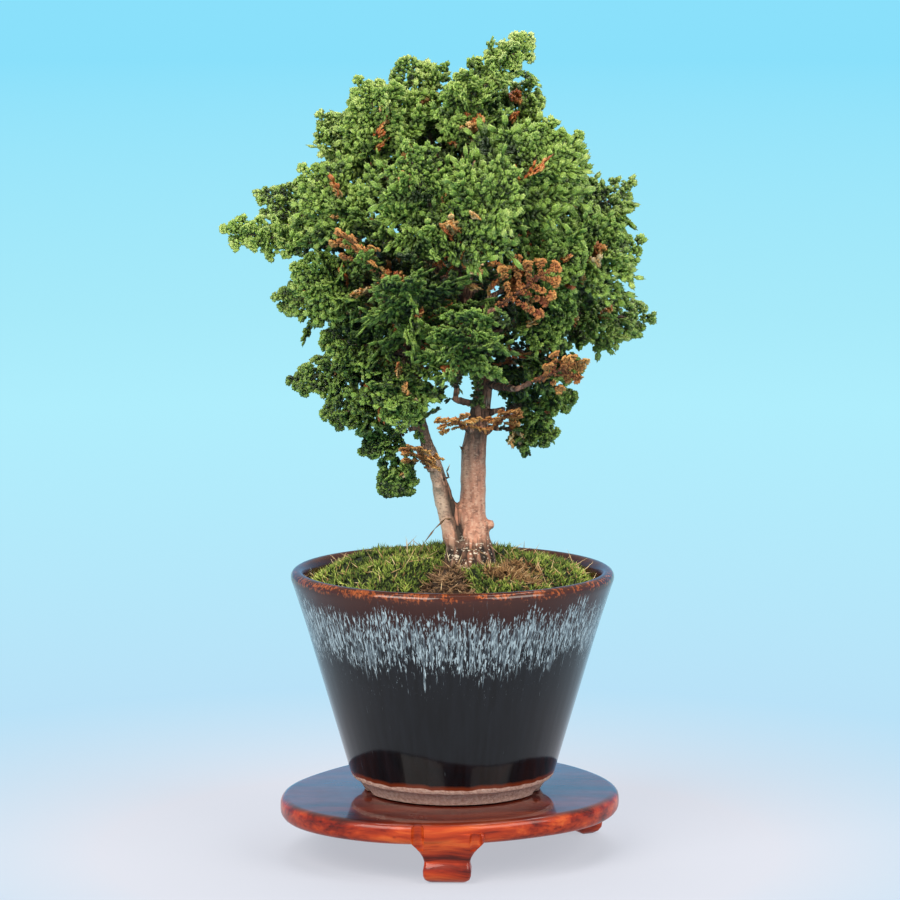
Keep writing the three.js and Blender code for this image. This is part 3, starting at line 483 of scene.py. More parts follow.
def deselectAll():
    bpy.ops.object.select_all(action="DESELECT")


def added(primitive, **settings):
    deselectAll()
    primitive(**settings)
    return bpy.context.object


def alone(thing):
    deselectAll()
    thing.hide_set(False)
    thing.select_set(True)
    bpy.context.view_layer.objects.active = thing


def applyModifier(thing, kind, **settings):
    alone(thing)
    made = thing.modifiers.new(kind.lower(), kind)
    for key, value in settings.items():
        setattr(made, key, value)
    bpy.ops.object.modifier_apply(modifier=made.name)


def combine(thing, operation, other):
    applyModifier(thing, "BOOLEAN", operation=operation, object=other, solver="EXACT")
    bpy.data.objects.remove(other)


def bevelEdges(thing, width, segments, sharper, **settings):
    applyModifier(thing, "BEVEL", width=width, segments=segments, limit_method="ANGLE",
                  angle_limit=math.radians(sharper), **settings)


def settle(thing):
    alone(thing)
    bpy.ops.object.transform_apply(location=True, rotation=True, scale=True)


def editAll():
    bpy.ops.object.mode_set(mode="EDIT")
    bpy.ops.mesh.select_all(action="SELECT")


def leaveEdit():
    bpy.ops.object.mode_set(mode="OBJECT")


def finishPiece(thing, name, material, nodes, angle=0):
    thing.name = name
    thing.data.name = name
    thing.data.materials.clear()
    thing.data.materials.append(material)
    alone(thing)
    if angle:
        bpy.ops.object.shade_smooth_by_angle(angle=math.radians(angle))
    else:
        bpy.ops.object.shade_smooth()
    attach(thing, "root")
    if nodes:
        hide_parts(*nodes)
    thing.data.calc_loop_triangles()
    return len(thing.data.loop_triangles)


def linked(name, mesh):
    thing = bpy.data.objects.new(name, mesh)
    bpy.context.scene.collection.objects.link(thing)
    return thing


def meshFrom(name, points, faces, tint):
    mesh = bpy.data.meshes.new(name)
    mesh.vertices.add(len(points))
    mesh.vertices.foreach_set("co", np.asarray(points, np.float32).ravel())
    mesh.loops.add(faces.size)
    mesh.loops.foreach_set("vertex_index", faces.astype(np.int32).ravel())
    mesh.polygons.add(len(faces))
    mesh.polygons.foreach_set("loop_start", np.arange(0, faces.size, 3, dtype=np.int32))
    mesh.update(calc_edges=True)
    shades = mesh.attributes.new("tint", "FLOAT_COLOR", "POINT")
    shades.data.foreach_set("color", np.asarray(tint, np.float32).ravel())
    return linked(name, mesh)


def copyOfNode(name):
    copied = linked(name + "_copy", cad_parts[name].data.copy())
    sheet = bmesh.new()
    sheet.from_mesh(copied.data)
    bmesh.ops.remove_doubles(sheet, verts=sheet.verts, dist=0.002 * mm)
    sheet.to_mesh(copied.data)
    sheet.free()
    return copied


def pointsAndNormals(mesh):
    return np.array([v.co for v in mesh.vertices]), np.array([v.normal for v in mesh.vertices])


def trianglesOf(mesh):
    mesh.calc_loop_triangles()
    return np.array([t.vertices for t in mesh.loop_triangles])


# A plume, the small lobed cluster of scale shoots that every frond is made of, and moss's needle

scaleShoot = {"sides": 3, "widest": 0.72}
needle = {"sides": 3, "widest": 0.3}
plume = {
    # Start along the plume, angle from it, length and width of each pair of shoots
    "pairs": [(0.02, 52, 0.56, 0.58), (0.36, 33, 0.56, 0.54)],
    "middle": (0.96, 0.56), "lift": 0.14, "flat": 0.8,
}


def modelSpindle(shape):
    # A tapered grain along +Z, 1 long and 1 wide: a cone whose base is poked and drawn to a point
    thing = added(bpy.ops.mesh.primitive_cone_add, vertices=shape["sides"], radius1=0.5, radius2=0,
                  depth=1 - shape["widest"], location=(0, 0, (1 + shape["widest"]) / 2))
    settle(thing)
    bpy.ops.object.mode_set(mode="EDIT")
    bpy.ops.mesh.select_mode(type="FACE")
    bpy.ops.mesh.select_all(action="DESELECT")
    leaveEdit()
    for face in thing.data.polygons:
        face.select = face.normal.z < -0.9
    bpy.ops.object.mode_set(mode="EDIT")
    bpy.ops.mesh.poke()
    leaveEdit()
    lowest = min(thing.data.vertices, key=lambda v: abs(v.co.z - shape["widest"]) + v.co.xy.length)
    lowest.co.z = 0
    points = pointsAndNormals(thing.data)[0]
    faces = trianglesOf(thing.data)
    bpy.data.objects.remove(thing)
    return points, faces


def modelPlume(grain, faces):
    # One shoot down the middle and two pairs leaning out of it, each raised a little
    points, allFaces = [], []

    def put(start, angle, length, width, lift):
        turn = math.radians(angle)
        along = np.array([math.sin(turn), lift, math.cos(turn)])
        across = np.array([math.cos(turn), 0, -math.sin(turn)])
        thick = np.array([0, plume["flat"], 0])
        allFaces.append(faces + len(points) * len(grain))
        points.append(np.array([0, 0, start]) + (grain[:, 0:1] * across + grain[:, 1:2] * thick) * width
                      + grain[:, 2:3] * along * length)

    length, width = plume["middle"]
    put(0, 0, length, width, 0)
    for number, (start, angle, length, width) in enumerate(plume["pairs"]):
        for hand in (-1, 1):
            put(start, hand * angle, length, width, plume["lift"] * (1 if number else 2))
    return np.concatenate(points), np.concatenate(allFaces)


shootPoints, shootFaces = modelSpindle(scaleShoot)
plumePoints, plumeFaces = modelPlume(shootPoints, shootFaces)
needlePoints, needleFaces = modelSpindle(needle)


class Copies:
    # Places of many copies of one tip, joined at the end in one mesh
    def __init__(self, points, faces):
        self.template, self.faces = points, faces
        self.bases, self.alongs, self.wides, self.thicks, self.tints = [], [], [], [], []

    def add(self, base, direction, face, length, width, thickness, tint):
        wide = np.cross(face, direction)
        wide /= norm(wide) + 1e-12
        flat = np.cross(direction, wide)
        self.bases.append(base)
        self.alongs.append(direction * length)
        self.wides.append(wide * width)
        self.thicks.append(flat * thickness)
        self.tints.append(tint)

    def arrays(self):
        lists = (self.bases, self.alongs, self.wides, self.thicks)
        base, along, wide, thick = (np.array(v)[:, None, :] for v in lists)
        t = self.template[None]
        points = base + t[..., 0:1] * wide + t[..., 1:2] * thick + t[..., 2:3] * along
        faces = self.faces[None] + (np.arange(len(self.bases)) * len(self.template))[:, None, None]
        # A tint is the tone at the base and at the end, chance, wood and greenness.
        tint = np.ones((len(self.bases), len(self.template), 4))
        given = np.array(self.tints)[:, None, :]
        tint[..., 0] = given[..., 0] + (given[..., 1] - given[..., 0]) * self.template[None, :, 2]
        tint[..., 1:] = given[..., 2:]
        return points.reshape(-1, 3), faces.reshape(-1, 3), tint.reshape(-1, 4)


def unit(v):
    return v / (norm(v) + 1e-12)


def turned(v, axis, angle):
    sine, cosine = math.sin(angle), math.cos(angle)
    return v * cosine + np.cross(axis, v) * sine + axis * np.dot(axis, v) * (1 - cosine)


# Fronds. Each leaflet's middle line, width and face are found on its spray's CAD blade.

crest = np.array([[0.4, -0.95], [0.6, -0.7], [0.84, -1.15], [1, -0.3], [0.96, 0.5], [0.8, 1.15], [0.5, 0.8]])
crestTerms = np.column_stack([np.ones(7), crest[:, 0], crest[:, 0] ** 2, crest[:, 1]])


def readFans(sheet):
    # The ring of points round each raised point, of which each leaflet has one on each side
    rings = {}
    for vert in sheet.verts:
        if len(vert.link_edges) < 10:
            continue
        following = {}
        for face in vert.link_faces:
            corners = [v.index for v in face.verts]
            at = corners.index(vert.index)
            following[corners[(at + 1) % 3]] = corners[(at + 2) % 3]
        ring = [next(iter(following))]
        while len(ring) < len(following):
            ring.append(following[ring[-1]])
        rings[vert.index] = ring
    return rings


def readSpray(name):
    copied = copyOfNode(name)
    sheet = bmesh.new()
    sheet.from_mesh(copied.data)
    bpy.data.objects.remove(copied)
    sheet.verts.index_update()
    rings = readFans(sheet)
    place = {v.index: np.array(v.co) for v in sheet.verts}
    sheet.free()
    inFans = set(rings).union(*[set(r) for r in rings.values()])
    base = np.mean([p for i, p in place.items() if i not in inFans], axis=0)
    leaflets, paired = [], set()
    for one, ring in rings.items():
        if one in paired:
            continue
        other = max((i for i in rings if i != one), key=lambda i: len(set(rings[i]) & set(ring)))
        paired |= {one, other}
        shared = set(rings[other]) & set(ring)
        start = next(i for i in range(len(ring)) if ring[i] in shared and ring[i - 1] not in shared)
        rim = [ring[(start + i) % len(ring)] for i in range(9)][1:8]
        fits = []
        for order in (rim, rim[::-1]):
            points = np.array([place[i] for i in order])
            solved = np.linalg.lstsq(crestTerms, points, rcond=None)[0]
            fits.append((np.abs(crestTerms @ solved - points).max(), solved))
        error, (root, heading, curl, forward) = min(fits, key=lambda fit: fit[0])
        leaflets.append({"root": root, "heading": heading, "curl": curl, "forward": forward,
                         "face": unit(place[one] - place[other]), "error": error})
    return base, leaflets


crown = {"centre": np.array([axisX + 0.002, axisY, 0.141]), "radii": np.array([0.043, 0.039, 0.05])}
frond = {
    "spacing": 1.3 * mm, "coarse": 1.8 * mm, "width": 1.9 * mm, "thickness": 1.3 * mm, "widen": 1.3,
    # Plumes lean out at the first angle at a frond's foot and at the second near its end.
    "angles": [60, 26], "jitter": (-9, 9), "tilt": 16, "twist": (-0.4, 0.4),
    "profile": [[0, 0.15, 0.45, 0.7, 0.88, 1.0], [0.5, 0.8, 1.0, 0.95, 1.1, 0.7]],  # width along it
    "crest": (-46, 0, 46), "crestLength": 2.1 * mm,
    "shade": [[0.45, 0.95], [0.36, 1.0]],  # painted shade: brightness from inside the crown to its outline
    # Fronds beside each leaflet
    "between": 0.75, "raised": 0.8, "lift": (40, 72), "swing": (18, 30), "narrow": 0.55, "deadTone": 0.42,
    "withered": 0.25, "witheredOutside": 0.07, "witheredSize": 0.6,
    # Short fronds on each rib, and on the bare limbs
    "tufts": 9, "tuftLength": (6 * mm, 11 * mm), "tuftWidth": 1.4 * mm, "fullRib": 11 * mm,
    "sprigs": 11, "sprigReach": 15 * mm, "sprigLength": (7 * mm, 13 * mm), "sprigLow": 0.104,
}
rope = {"step": 1.1, "length": 2.0, "width": 1.6, "back": 0.4}  # shoots along a rib, in mm
twig = {"start": 1.3, "width": 1.5, "taper": 0.2}  # the bare stem under them, in mm


def crownShare(point):
    # 0 in the middle of the crown, 1 at its outline
    return norm((point - crown["centre"]) / crown["radii"])


def heldIn(root, heading):
    # What stands inside the crown doesn't grow out of it.
    start, end = crownShare(root), crownShare(root + heading)
    if end <= 1:
        return heading
    return heading * max(0.4, (1 - start) / (end - start) if start < 1 < end else 0.4)


def growFrond(copies, random, root, heading, curl, forward, face, freshAndLight,
              greenness=1.0, depth=1.0, coarse=False):
    # Plumes in a dense row down both sides of a middle line, and a crest of them at its end
    halfWidth = norm(forward) * frond["widen"]
    aside = unit(forward)
    count = max(3, int(norm(heading) * 0.9 / frond["coarse" if coarse else "spacing"]))
    leafChance = random.random()
    lit = 1.0  # painted shade: darker towards the inside of the crown, and on inner fronds by depth
    if greenness:
        lit = depth * np.interp(crownShare(root + 0.6 * heading), *frond["shade"])
    twist = random.uniform(*frond["twist"])

    def put(base, direction, normal, length, width, dim, bright):
        chance = 0.5 * random.random() + 0.5 * leafChance
        copies.add(base, direction, normal, length, width, frond["thickness"],
                   (dim, bright, chance, 0, greenness))

    for j in range(count):
        share = 0.92 * (j + 0.3 + 0.4 * random.random()) / count
        middle = root + heading * share + curl * share * share
        ahead = unit(heading + 2 * curl * share)
        up = turned(unit(face - ahead * np.dot(face, ahead)), ahead, twist * share)
        across = unit(np.cross(up, ahead))
        if np.dot(across, aside) < 0:
            across = -across
        # Painted shade: each plume is darker at its foot and lighter at its tip, partly the lime of young
        # tips, and the whole tone drops inside the crown
        tone = (freshAndLight + 0.12) * (0.2 + 0.6 * share) * lit
        spread = halfWidth * np.interp(share, *frond["profile"])
        for hand in (-1, 1):
            angle = math.radians(np.interp(share, [0, 1], frond["angles"]) + random.uniform(*frond["jitter"]))
            tilt = math.radians(random.uniform(-1, 1) * frond["tilt"] + 8)
            direction = unit(ahead * math.cos(angle) + hand * across * math.sin(angle) + up * math.sin(tilt))
            reach = spread * random.uniform(0.85, 1.15) / max(math.sin(angle), 0.5)
            base = middle + up * random.uniform(-0.2, 0.2) * mm - direction * 0.3 * mm
            normal = unit(up + 0.4 * across * random.uniform(-1, 1))
            put(base, direction, normal, reach, frond["width"] * random.uniform(0.85, 1.15),
                tone * 0.4, tone + 0.42 * lit)
        if j % 2 or coarse:
            continue
        outward = up if j % 4 else -up
        direction = unit(ahead + outward * random.uniform(0.3, 0.7) + across * random.uniform(-0.6, 0.6))
        normal = unit(up + across * random.uniform(-0.8, 0.8))
        put(middle - direction * 0.2 * mm, direction, normal, spread, frond["width"] * 0.9,
            tone * 0.5, tone + 0.46 * lit)
    end = root + heading * 0.85 + curl * 0.72
    ahead = unit(heading + 2 * curl)
    for turn in frond["crest"]:
        leaning = turned(ahead, face, math.radians(turn + random.uniform(-10, 10)))
        direction = unit(leaning + face * random.uniform(-0.15, 0.5))
        put(end, direction, unit(face + 0.3 * random.normal(size=3)),
            frond["crestLength"] * random.uniform(0.8, 1.1), frond["width"] * 1.1,
            freshAndLight * 0.5 * lit, (freshAndLight + 0.3) * lit)


def growRope(copies, points, freshAndLight, woodiness, random, face):
    # Overlapping shoots end to end along a rib, woodier where the twig starts
    for start, end, woody in zip(points, points[1:], woodiness):
        steps = max(1, int(norm(end - start) / (rope["step"] * mm)))
        for i in range(steps):
            a = start + (end - start) * (i / steps)
            b = start + (end - start) * ((i + 1) / steps)
            ahead = unit(b - a)
            side = turned(unit(np.cross(face, ahead)), ahead, random.uniform(-math.pi, math.pi))
            copies.add(a - ahead * rope["back"] * mm, unit(ahead + 0.5 * side), face, rope["length"] * mm,
                       rope["width"] * mm, rope["width"] * mm,
                       (freshAndLight * 0.2, freshAndLight * 0.6, random.random(), woody, 1))


def readLimbs():
    copied = copyOfNode("trunk")
    points, normals = pointsAndNormals(copied.data)
    bpy.data.objects.remove(copied)
    besideTrunk = abs(points[:, 0] - axisX - 0.008) < 0.008
    high = points[:, 2] > np.where(besideTrunk, frond["sprigLow"] + 0.01, frond["sprigLow"])
    return points, points[high], normals[high]


woodPoints, limbPoints, limbNormals = readLimbs()


def growSprigs(copies, random, base, freshAndLight):
    # Sprigs on the bare limbs near a spray, so that the crown is full inside
    near = np.flatnonzero(norm(limbPoints - base, axis=1) < frond["sprigReach"])
    if not len(near):
        return
    for k in random.choice(near, min(frond["sprigs"], len(near)), replace=False):
        foot = limbPoints[k]
        outward = unit((foot - crown["centre"]) / crown["radii"]) * [1, 1, 0.6]
        direction = unit(limbNormals[k] * 0.5 + outward * 0.7 + np.array([0, 0, 0.35])
                         + random.normal(size=3) * 0.35)
        size = random.uniform(*frond["sprigLength"])
        across = unit(np.cross(direction, random.normal(size=3)))
        withered = random.random() < frond["withered"]
        face = unit(np.cross(across, direction))
        heading = heldIn(foot, direction * size * (frond["witheredSize"] if withered else 1))
        # Painted shade: sprigs inside the crown are darker, at depth 0.6
        growFrond(copies, random, foot - direction * 0.5 * mm, heading,
                  face * size * random.uniform(-0.25, 0.25), across * frond["tuftWidth"], face, freshAndLight,
                  0.0 if withered else 1.0, 0.6, not withered)


def growTufts(copies, random, roots, rib, face, freshAndLight):
    # Short fronds crowd the lower half of the rib, darker by painted shade and more often withered.
    ribLength = norm(roots[-1] - roots[1])
    for k in range(frond["tufts"]):
        foot = roots[1] + (roots[-1] - roots[1]) * random.uniform(-0.15, 0.6)
        around = turned(face, rib, random.uniform(0, 2 * math.pi))
        direction = unit(around + rib * random.uniform(-0.2, 0.8))
        size = random.uniform(*frond["tuftLength"]) * min(1.0, ribLength / frond["fullRib"])
        across = unit(np.cross(direction, rib))
        withered = random.random() < frond["withered"] and crownShare(foot) < 0.9
        heading = heldIn(foot, direction * size * (frond["witheredSize"] if withered else 1))
        growFrond(copies, random, foot, heading, around * size * random.uniform(-0.3, 0.1),
                  across * frond["tuftWidth"], unit(np.cross(across, direction)), freshAndLight,
                  0.0 if withered else 1.0, 0.75, crownShare(foot + heading) < 0.72)


def growCompanions(copies, random, leaf, number, rib, leafFace, freshAndLight):
    # Beside a leaflet a smaller one stands out of the spray's face, and another fills the gap to the next.
    lift = math.radians(random.uniform(*frond["lift"])) * (1 if (number // 2 + number) % 2 == 0 else -1)
    out = unit(leaf["heading"] - rib * np.dot(leaf["heading"], rib))
    size = frond["raised"] * random.uniform(0.85, 1.15)
    heading = leaf["heading"] * size
    raised = heading * math.cos(lift) + leafFace * norm(heading) * math.sin(lift)
    raisedFace = unit(leafFace * math.cos(lift) - out * math.sin(lift))
    withered = random.random() < frond["witheredOutside"]
    raised = heldIn(leaf["root"], raised) * (frond["witheredSize"] if withered else 1)
    growFrond(copies, random, leaf["root"], raised, leaf["curl"] * 0.5, leaf["forward"] * 0.85,
              raisedFace, freshAndLight, 0.0 if withered else 1.0)
    heading = leaf["heading"] * (frond["between"] * random.uniform(0.8, 1.15))
    swing = math.radians(random.uniform(*frond["swing"]))
    hinge = unit(np.cross(rib, out))
    beside = turned(heading, hinge, swing)
    if np.dot(beside, rib) < np.dot(heading, rib):
        beside = turned(heading, hinge, -swing)
    root = leaf["root"] + rib * 1.2 * mm + leafFace * random.uniform(-0.7, 0.7) * mm
    # Painted shade: the frond in the gap is a little darker, at depth 0.85
    growFrond(copies, random, root, beside + leafFace * random.uniform(-0.2, 0.2) * norm(beside),
              leaf["curl"] * 0.6, leaf["forward"] * 0.8, leafFace, freshAndLight, depth=0.85)


def dressSpray(name, index):
    random = np.random.RandomState(4000 + index)
    dead = "dead" in name
    base, leaflets = readSpray(name)
    leaflets.sort(key=lambda leaf: norm(leaf["root"] - base))
    copies = Copies(plumePoints, plumeFaces)
    twigs = Copies(shootPoints, shootFaces)
    roots = [base]
    for leaf in leaflets:
        if norm(leaf["root"] - roots[-1]) > 0.01 * mm:
            roots.append(leaf["root"])
    face = unit(np.mean([leaf["face"] for leaf in leaflets], axis=0))
    middle = roots[len(roots) // 2]
    if np.dot(face, middle - crown["centre"]) < 0:
        face = -face
    # Lighter at the top and the outside of the crown: partly fresher growth, partly painted light
    rise = (middle[2] - crown["centre"][2]) / 0.04
    freshAndLight = np.clip(0.36 + 0.25 * (crownShare(middle) - 0.8) + 0.3 * rise, 0.08, 0.66)
    if dead:
        freshAndLight = frond["deadTone"]
    rib = unit(roots[-1] - roots[1])
    start = base - unit(roots[1] - base) * twig["start"] * mm  # into the end of its limb
    growRope(copies, roots, freshAndLight, [0.3 if dead else 0.6] + [0.1] * len(roots), random, face)
    for k, (a, b) in enumerate(zip([start] + roots[1:-1], roots[1:])):
        thick = (twig["width"] - twig["taper"] * k) * mm
        twigs.add(a, unit(b - a), face, norm(b - a) * 1.25, thick, thick, (0, 0.1, random.random(), 0.9, 1))
    for number, leaf in enumerate(leaflets):
        leafFace = leaf["face"] if np.dot(leaf["face"], face) > 0 else -leaf["face"]
        growFrond(copies, random, leaf["root"], leaf["heading"], leaf["curl"],
                  leaf["forward"] * (frond["narrow"] if dead else 1), leafFace, freshAndLight)
        if not dead and number < len(leaflets) - 1:
            growCompanions(copies, random, leaf, number, rib, leafFace, freshAndLight)
    if not dead:
        growTufts(copies, random, roots, rib, face, freshAndLight)
        growSprigs(copies, random, base, freshAndLight)
    points, faces, tint = copies.arrays()
    twigPoints, twigFaces, twigTint = twigs.arrays()
    thing = meshFrom(name + "_fronds", np.concatenate([points, twigPoints]),
                     np.concatenate([faces, twigFaces + len(points)]), np.concatenate([tint, twigTint]))
    count = finishPiece(thing, name + "_fronds", deadMaterial if dead else leafMaterial, [name])
    return count, max(leaf["error"] for leaf in leaflets)


sprayNames = sorted(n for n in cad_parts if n.startswith("spray"))
counts, errors = zip(*(dressSpray(name, index) for index, name in enumerate(sprayNames)))
print("fronds", len(sprayNames), "sprays", sum(counts), "triangles, blades read to",
      round(max(errors) / mm, 4), "mm")


# Trunks and limbs: the CAD wood, rounded, with its bark standing in strips

wood = {
    "voxel": 0.6 * mm, "smooth": 4, "strip": 0.16 * mm, "stripScale": (900, 900, 140),
    "lump": 0.22 * mm, "lumpScale": 330, "thinTop": 0.15, "thinning": 0.03,
    "flare": 1.5 * mm, "flareTop": 0.081, "flareLow": 0.07,
}


def dressTrunk():
    thing = copyOfNode("trunk")
    applyModifier(thing, "REMESH", mode="VOXEL", voxel_size=wood["voxel"])
    applyModifier(thing, "SMOOTH", factor=0.5, iterations=wood["smooth"])
    mesh = thing.data
    points, normals = pointsAndNormals(mesh)
    for i, (p, n) in enumerate(zip(points, normals)):
        strips = noise.noise(Vector(p * wood["stripScale"]))
        lumps = noise.noise(Vector(p * wood["lumpScale"]))
        low = max(0.0, min(1.0, (wood["thinTop"] - p[2]) / wood["thinning"]))  # thin limbs stay smoother
        flare = wood["flare"] * np.interp(p[2], [wood["flareLow"], wood["flareTop"]], [1, 0]) ** 1.5
        p = p + n * [flare, flare, 0]
        points[i] = p + n * (wood["strip"] * strips + wood["lump"] * lumps) * (0.35 + 0.65 * low)
    mesh.vertices.foreach_set("co", points.astype(np.float32).ravel())
    mesh.update()
    return finishPiece(thing, "bark_and_wood", barkMaterial, ["trunk"])


print("trunk", dressTrunk(), "triangles")


# Small dead twigs on the trunk, an old root and a straw over the moss: points from the pot's axis,
# the width, and whether it starts at the trunk's nearest surface

deadWood = [
    ([(-0.8, -4.5, 91.0), (-1.6, -6.4, 92.6), (-2.9, -7.2, 92.4), (-3.6, -8.0, 93.6)], 0.75, True),
    ([(0.6, -4.5, 89.6), (1.4, -6.6, 90.0), (0.9, -8.0, 91.5), (1.4, -8.6, 92.8)], 0.65, True),
    ([(1.2, -4.0, 95.5), (0.4, -6.4, 96.2), (1.2, -7.6, 95.0)], 0.6, True),
    ([(-0.8, -7.5, 77.2), (-2.2, -10.0, 77.6), (-4.6, -12.0, 75.6), (-7.0, -13.4, 72.6),
      (-8.6, -14.4, 69.6)], 0.7, True),
    ([(8.6, -10.0, 73.6), (10.4, -12.0, 72.2), (12.0, -14.0, 71.4), (13.6, -15.6, 69.8)], 0.5, False),
    ([(3.0, -9.0, 72.6), (5.4, -12.6, 72.9), (8.8, -14.8, 71.6)], 0.45, False),
]


def makeDeadWood():
    copies = Copies(needlePoints, needleFaces)
    for places, thickness, onTrunk in deadWood:
        points = np.array([[axisX + x * mm, axisY + y * mm, z * mm] for x, y, z in places])
        if onTrunk:
            points += woodPoints[np.argmin(norm(woodPoints - points[0], axis=1))] - points[0]
        for k, (a, b) in enumerate(zip(points, points[1:])):
            ahead = unit(b - a)
            width = thickness * mm * (1 - 0.15 * k)
            copies.add(a - ahead * 0.3 * mm, ahead, np.array([0.0, -1.0, 0.3]), norm(b - a) + 1.2 * mm,
                       width, width, (0.3, 0.8, 0.5, 0.0, 1))
    thing = meshFrom("dead_twigs", *copies.arrays())
    return finishPiece(thing, "dead_twigs", dryMaterial, [])


print("dead twigs", makeDeadWood(), "triangles")


# Moss: each cushion's CAD body, smoothed, under thousands of small shoots

moss = {
    "perSquare": 1.15, "length": 1.8 * mm, "width": 0.46 * mm, "spread": 0.5, "steepest": 0.12,
    "patchScale": 260, "dryScale": 190,
    "straws": 0.05, "strawShare": 0.05, "strawLength": (2.5 * mm, 5 * mm), "strawSize": (0.3 * mm, 0.24 * mm),
    "dryPlace": (14 * mm, -12 * mm),  # the browned part in front on the right, from the pot's axis
    "dryReach": (9 * mm, 12 * mm),
}


def dressMoss(name, index):
    random = np.random.RandomState(700 + index)
    dry = name == "moss_dry_patch"
    thing = copyOfNode(name)
    applyModifier(thing, "SUBSURF", levels=2, render_levels=2)
    triangles = trianglesOf(thing.data)
    corners = pointsAndNormals(thing.data)[0]
    bpy.data.objects.remove(thing)
    a, b, c = (corners[triangles[:, k]] for k in range(3))
    cross = np.cross(b - a, c - a)
    area = norm(cross, axis=1) / 2
    normals = cross / (2 * area[:, None] + 1e-15)
    area = np.where(normals[:, 2] > moss["steepest"], area, 0)
    square = area.sum() / (mm * mm)
    copies = Copies(needlePoints, needleFaces)

    def spotOn():
        k = random.choice(len(area), p=area / area.sum())
        u, v = random.random(2)
        if u + v > 1:
            u, v = 1 - u, 1 - v
        return a[k] + (b[k] - a[k]) * u + (c[k] - a[k]) * v, normals[k]

    def dryness(spot):
        aside = (spot[:2] - [axisX, axisY] - np.array(moss["dryPlace"])) / moss["dryReach"]
        return 1 - norm(aside) + 0.7 * noise.noise(Vector(spot * moss["dryScale"]))

    for k in range(int(square * moss["perSquare"])):
        spot, normal = spotOn()
        up = unit(normal + np.array([0, 0, 0.35]))
        patch = noise.noise(Vector(spot * moss["patchScale"])) * 0.5 + 0.5
        chance = random.random()
        brown = dryness(spot) > random.uniform(0.1, 0.5)
        flat = dry or brown  # the dry shoots lie down and are longer
        for blade in range(2 if dry else 3):
            direction = unit(up + random.normal(size=3) * (moss["spread"] * (1.6 if flat else 1)))
            if flat:
                direction = unit(direction * [1, 1, 0.45])
            length = moss["length"] * (0.6 + 0.7 * patch) * random.uniform(0.6, 1.4) * (1.5 if flat else 1)
            straw = 1.0 if (brown or random.random() < moss["strawShare"]) and not dry else 0.0
            copies.add(spot - direction * 0.2 * mm, direction, unit(random.normal(size=3)), length,
                       moss["width"] * random.uniform(0.7, 1.2), moss["width"] * 0.55,
                       (0.02, 0.1 + 0.6 * patch + 0.4 * random.random(), chance, straw, 1))
    # Loose straws lie over the cushions.
    for k in range(int(square * moss["straws"])):
        spot, normal = spotOn()
        direction = unit(normal * random.uniform(0.05, 0.6) + unit(random.normal(size=3)))
        if np.dot(direction, normal) < 0:
            direction = direction - 2 * normal * np.dot(direction, normal)
        copies.add(spot + normal * 0.5 * mm, direction, normal, random.uniform(*moss["strawLength"]),
                   *moss["strawSize"], (0.5, 0.9, random.random(), 1.0, 1))
    points, faces, tint = copies.arrays()
    under = np.tile([0.02, 0.3, 0.0, 1.0], (len(corners), 1))
    piece = meshFrom(name + "_shoots", np.concatenate([corners, points]),
                     np.concatenate([triangles, faces + len(corners)]), np.concatenate([under, tint]))
    return finishPiece(piece, name + "_shoots", dryMaterial if dry else mossMaterial, [name])


mossNames = sorted(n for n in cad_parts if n.startswith("moss"))
print("moss", sum(dressMoss(name, i) for i, name in enumerate(mossNames)), "triangles")


# Pot

pot = {
    "bottom": 14.3, "height": 52.3, "rim": 38.0, "foot": 21.0, "steps": 144,
    "notches": [-20, 90, 200], "notchSize": (9 * mm, 4.5 * mm, 3 * mm), "notchBevel": 0.6 * mm,
    "smoothBelow": 32,  # edges flatter than this angle are shaded smooth
}


def makePot():
    top, rim, foot = pot["height"], pot["rim"], pot["foot"]
    profile = [
        (foot - 4.3, 0.6), (foot - 4.1, 0.15), (foot - 3.7, 0), (foot - 0.7, 0), (foot - 0.2, 0.15),
        (foot + 0.05, 0.6), (foot + 1.5, 2.8), (foot + 2.0, 3.05), (foot + 2.6, 3.3), (foot + 3.0, 3.9),
        (foot + 3.3, 4.7), (foot + 6.4, 15.4), (foot + 9.9, 27.3), (foot + 13.3, 39.0),
        (rim - 0.9, top - 4.6), (rim - 0.55, top - 3.6), (rim - 0.25, top - 2.8), (rim - 0.02, top - 2.0),
        (rim - 0.05, top - 1.2), (rim - 0.45, top - 0.5), (rim - 1.1, top - 0.1), (rim - 1.75, top),
        (rim - 2.4, top - 0.2), (rim - 2.95, top - 0.8), (rim - 3.3, top - 1.7), (rim - 3.6, top - 4),
        (foot + 1.9, 7.4), (foot + 0.2, 5.8), (foot - 1.6, 5.2), (5.0, 5.2), (5.0, 1.8), (foot - 4.8, 1.8),
    ]
    mesh = bpy.data.meshes.new("pot_profile")
    points = [(axisX + r * mm, axisY, (z + pot["bottom"]) * mm) for r, z in profile]
    mesh.from_pydata(points, [(i, (i + 1) % len(points)) for i in range(len(points))], [])
    thing = linked("pot_body", mesh)
    alone(thing)
    editAll()
    bpy.ops.mesh.spin(steps=pot["steps"], angle=2 * math.pi, center=(axisX, axisY, 0), axis=(0, 0, 1))
    bpy.ops.mesh.select_all(action="SELECT")
    bpy.ops.mesh.remove_doubles(threshold=0.01 * mm)
    bpy.ops.mesh.normals_make_consistent(inside=False)
    leaveEdit()
    for angle in pot["notches"]:
        turn = math.radians(angle)
        reach = foot * mm
        middle = (axisX + reach * math.cos(turn), axisY + reach * math.sin(turn), pot["bottom"] * mm)
        cutter = added(bpy.ops.mesh.primitive_cube_add, size=1, location=middle, rotation=(0, 0, turn),
                       scale=pot["notchSize"])
        settle(cutter)
        applyModifier(cutter, "BEVEL", width=pot["notchBevel"], segments=2)
        combine(thing, "DIFFERENCE", cutter)
    return finishPiece(thing, "pot_body", glazeMaterial, ["pot"], pot["smoothBelow"])


print("pot", makePot(), "triangles")


# Stand

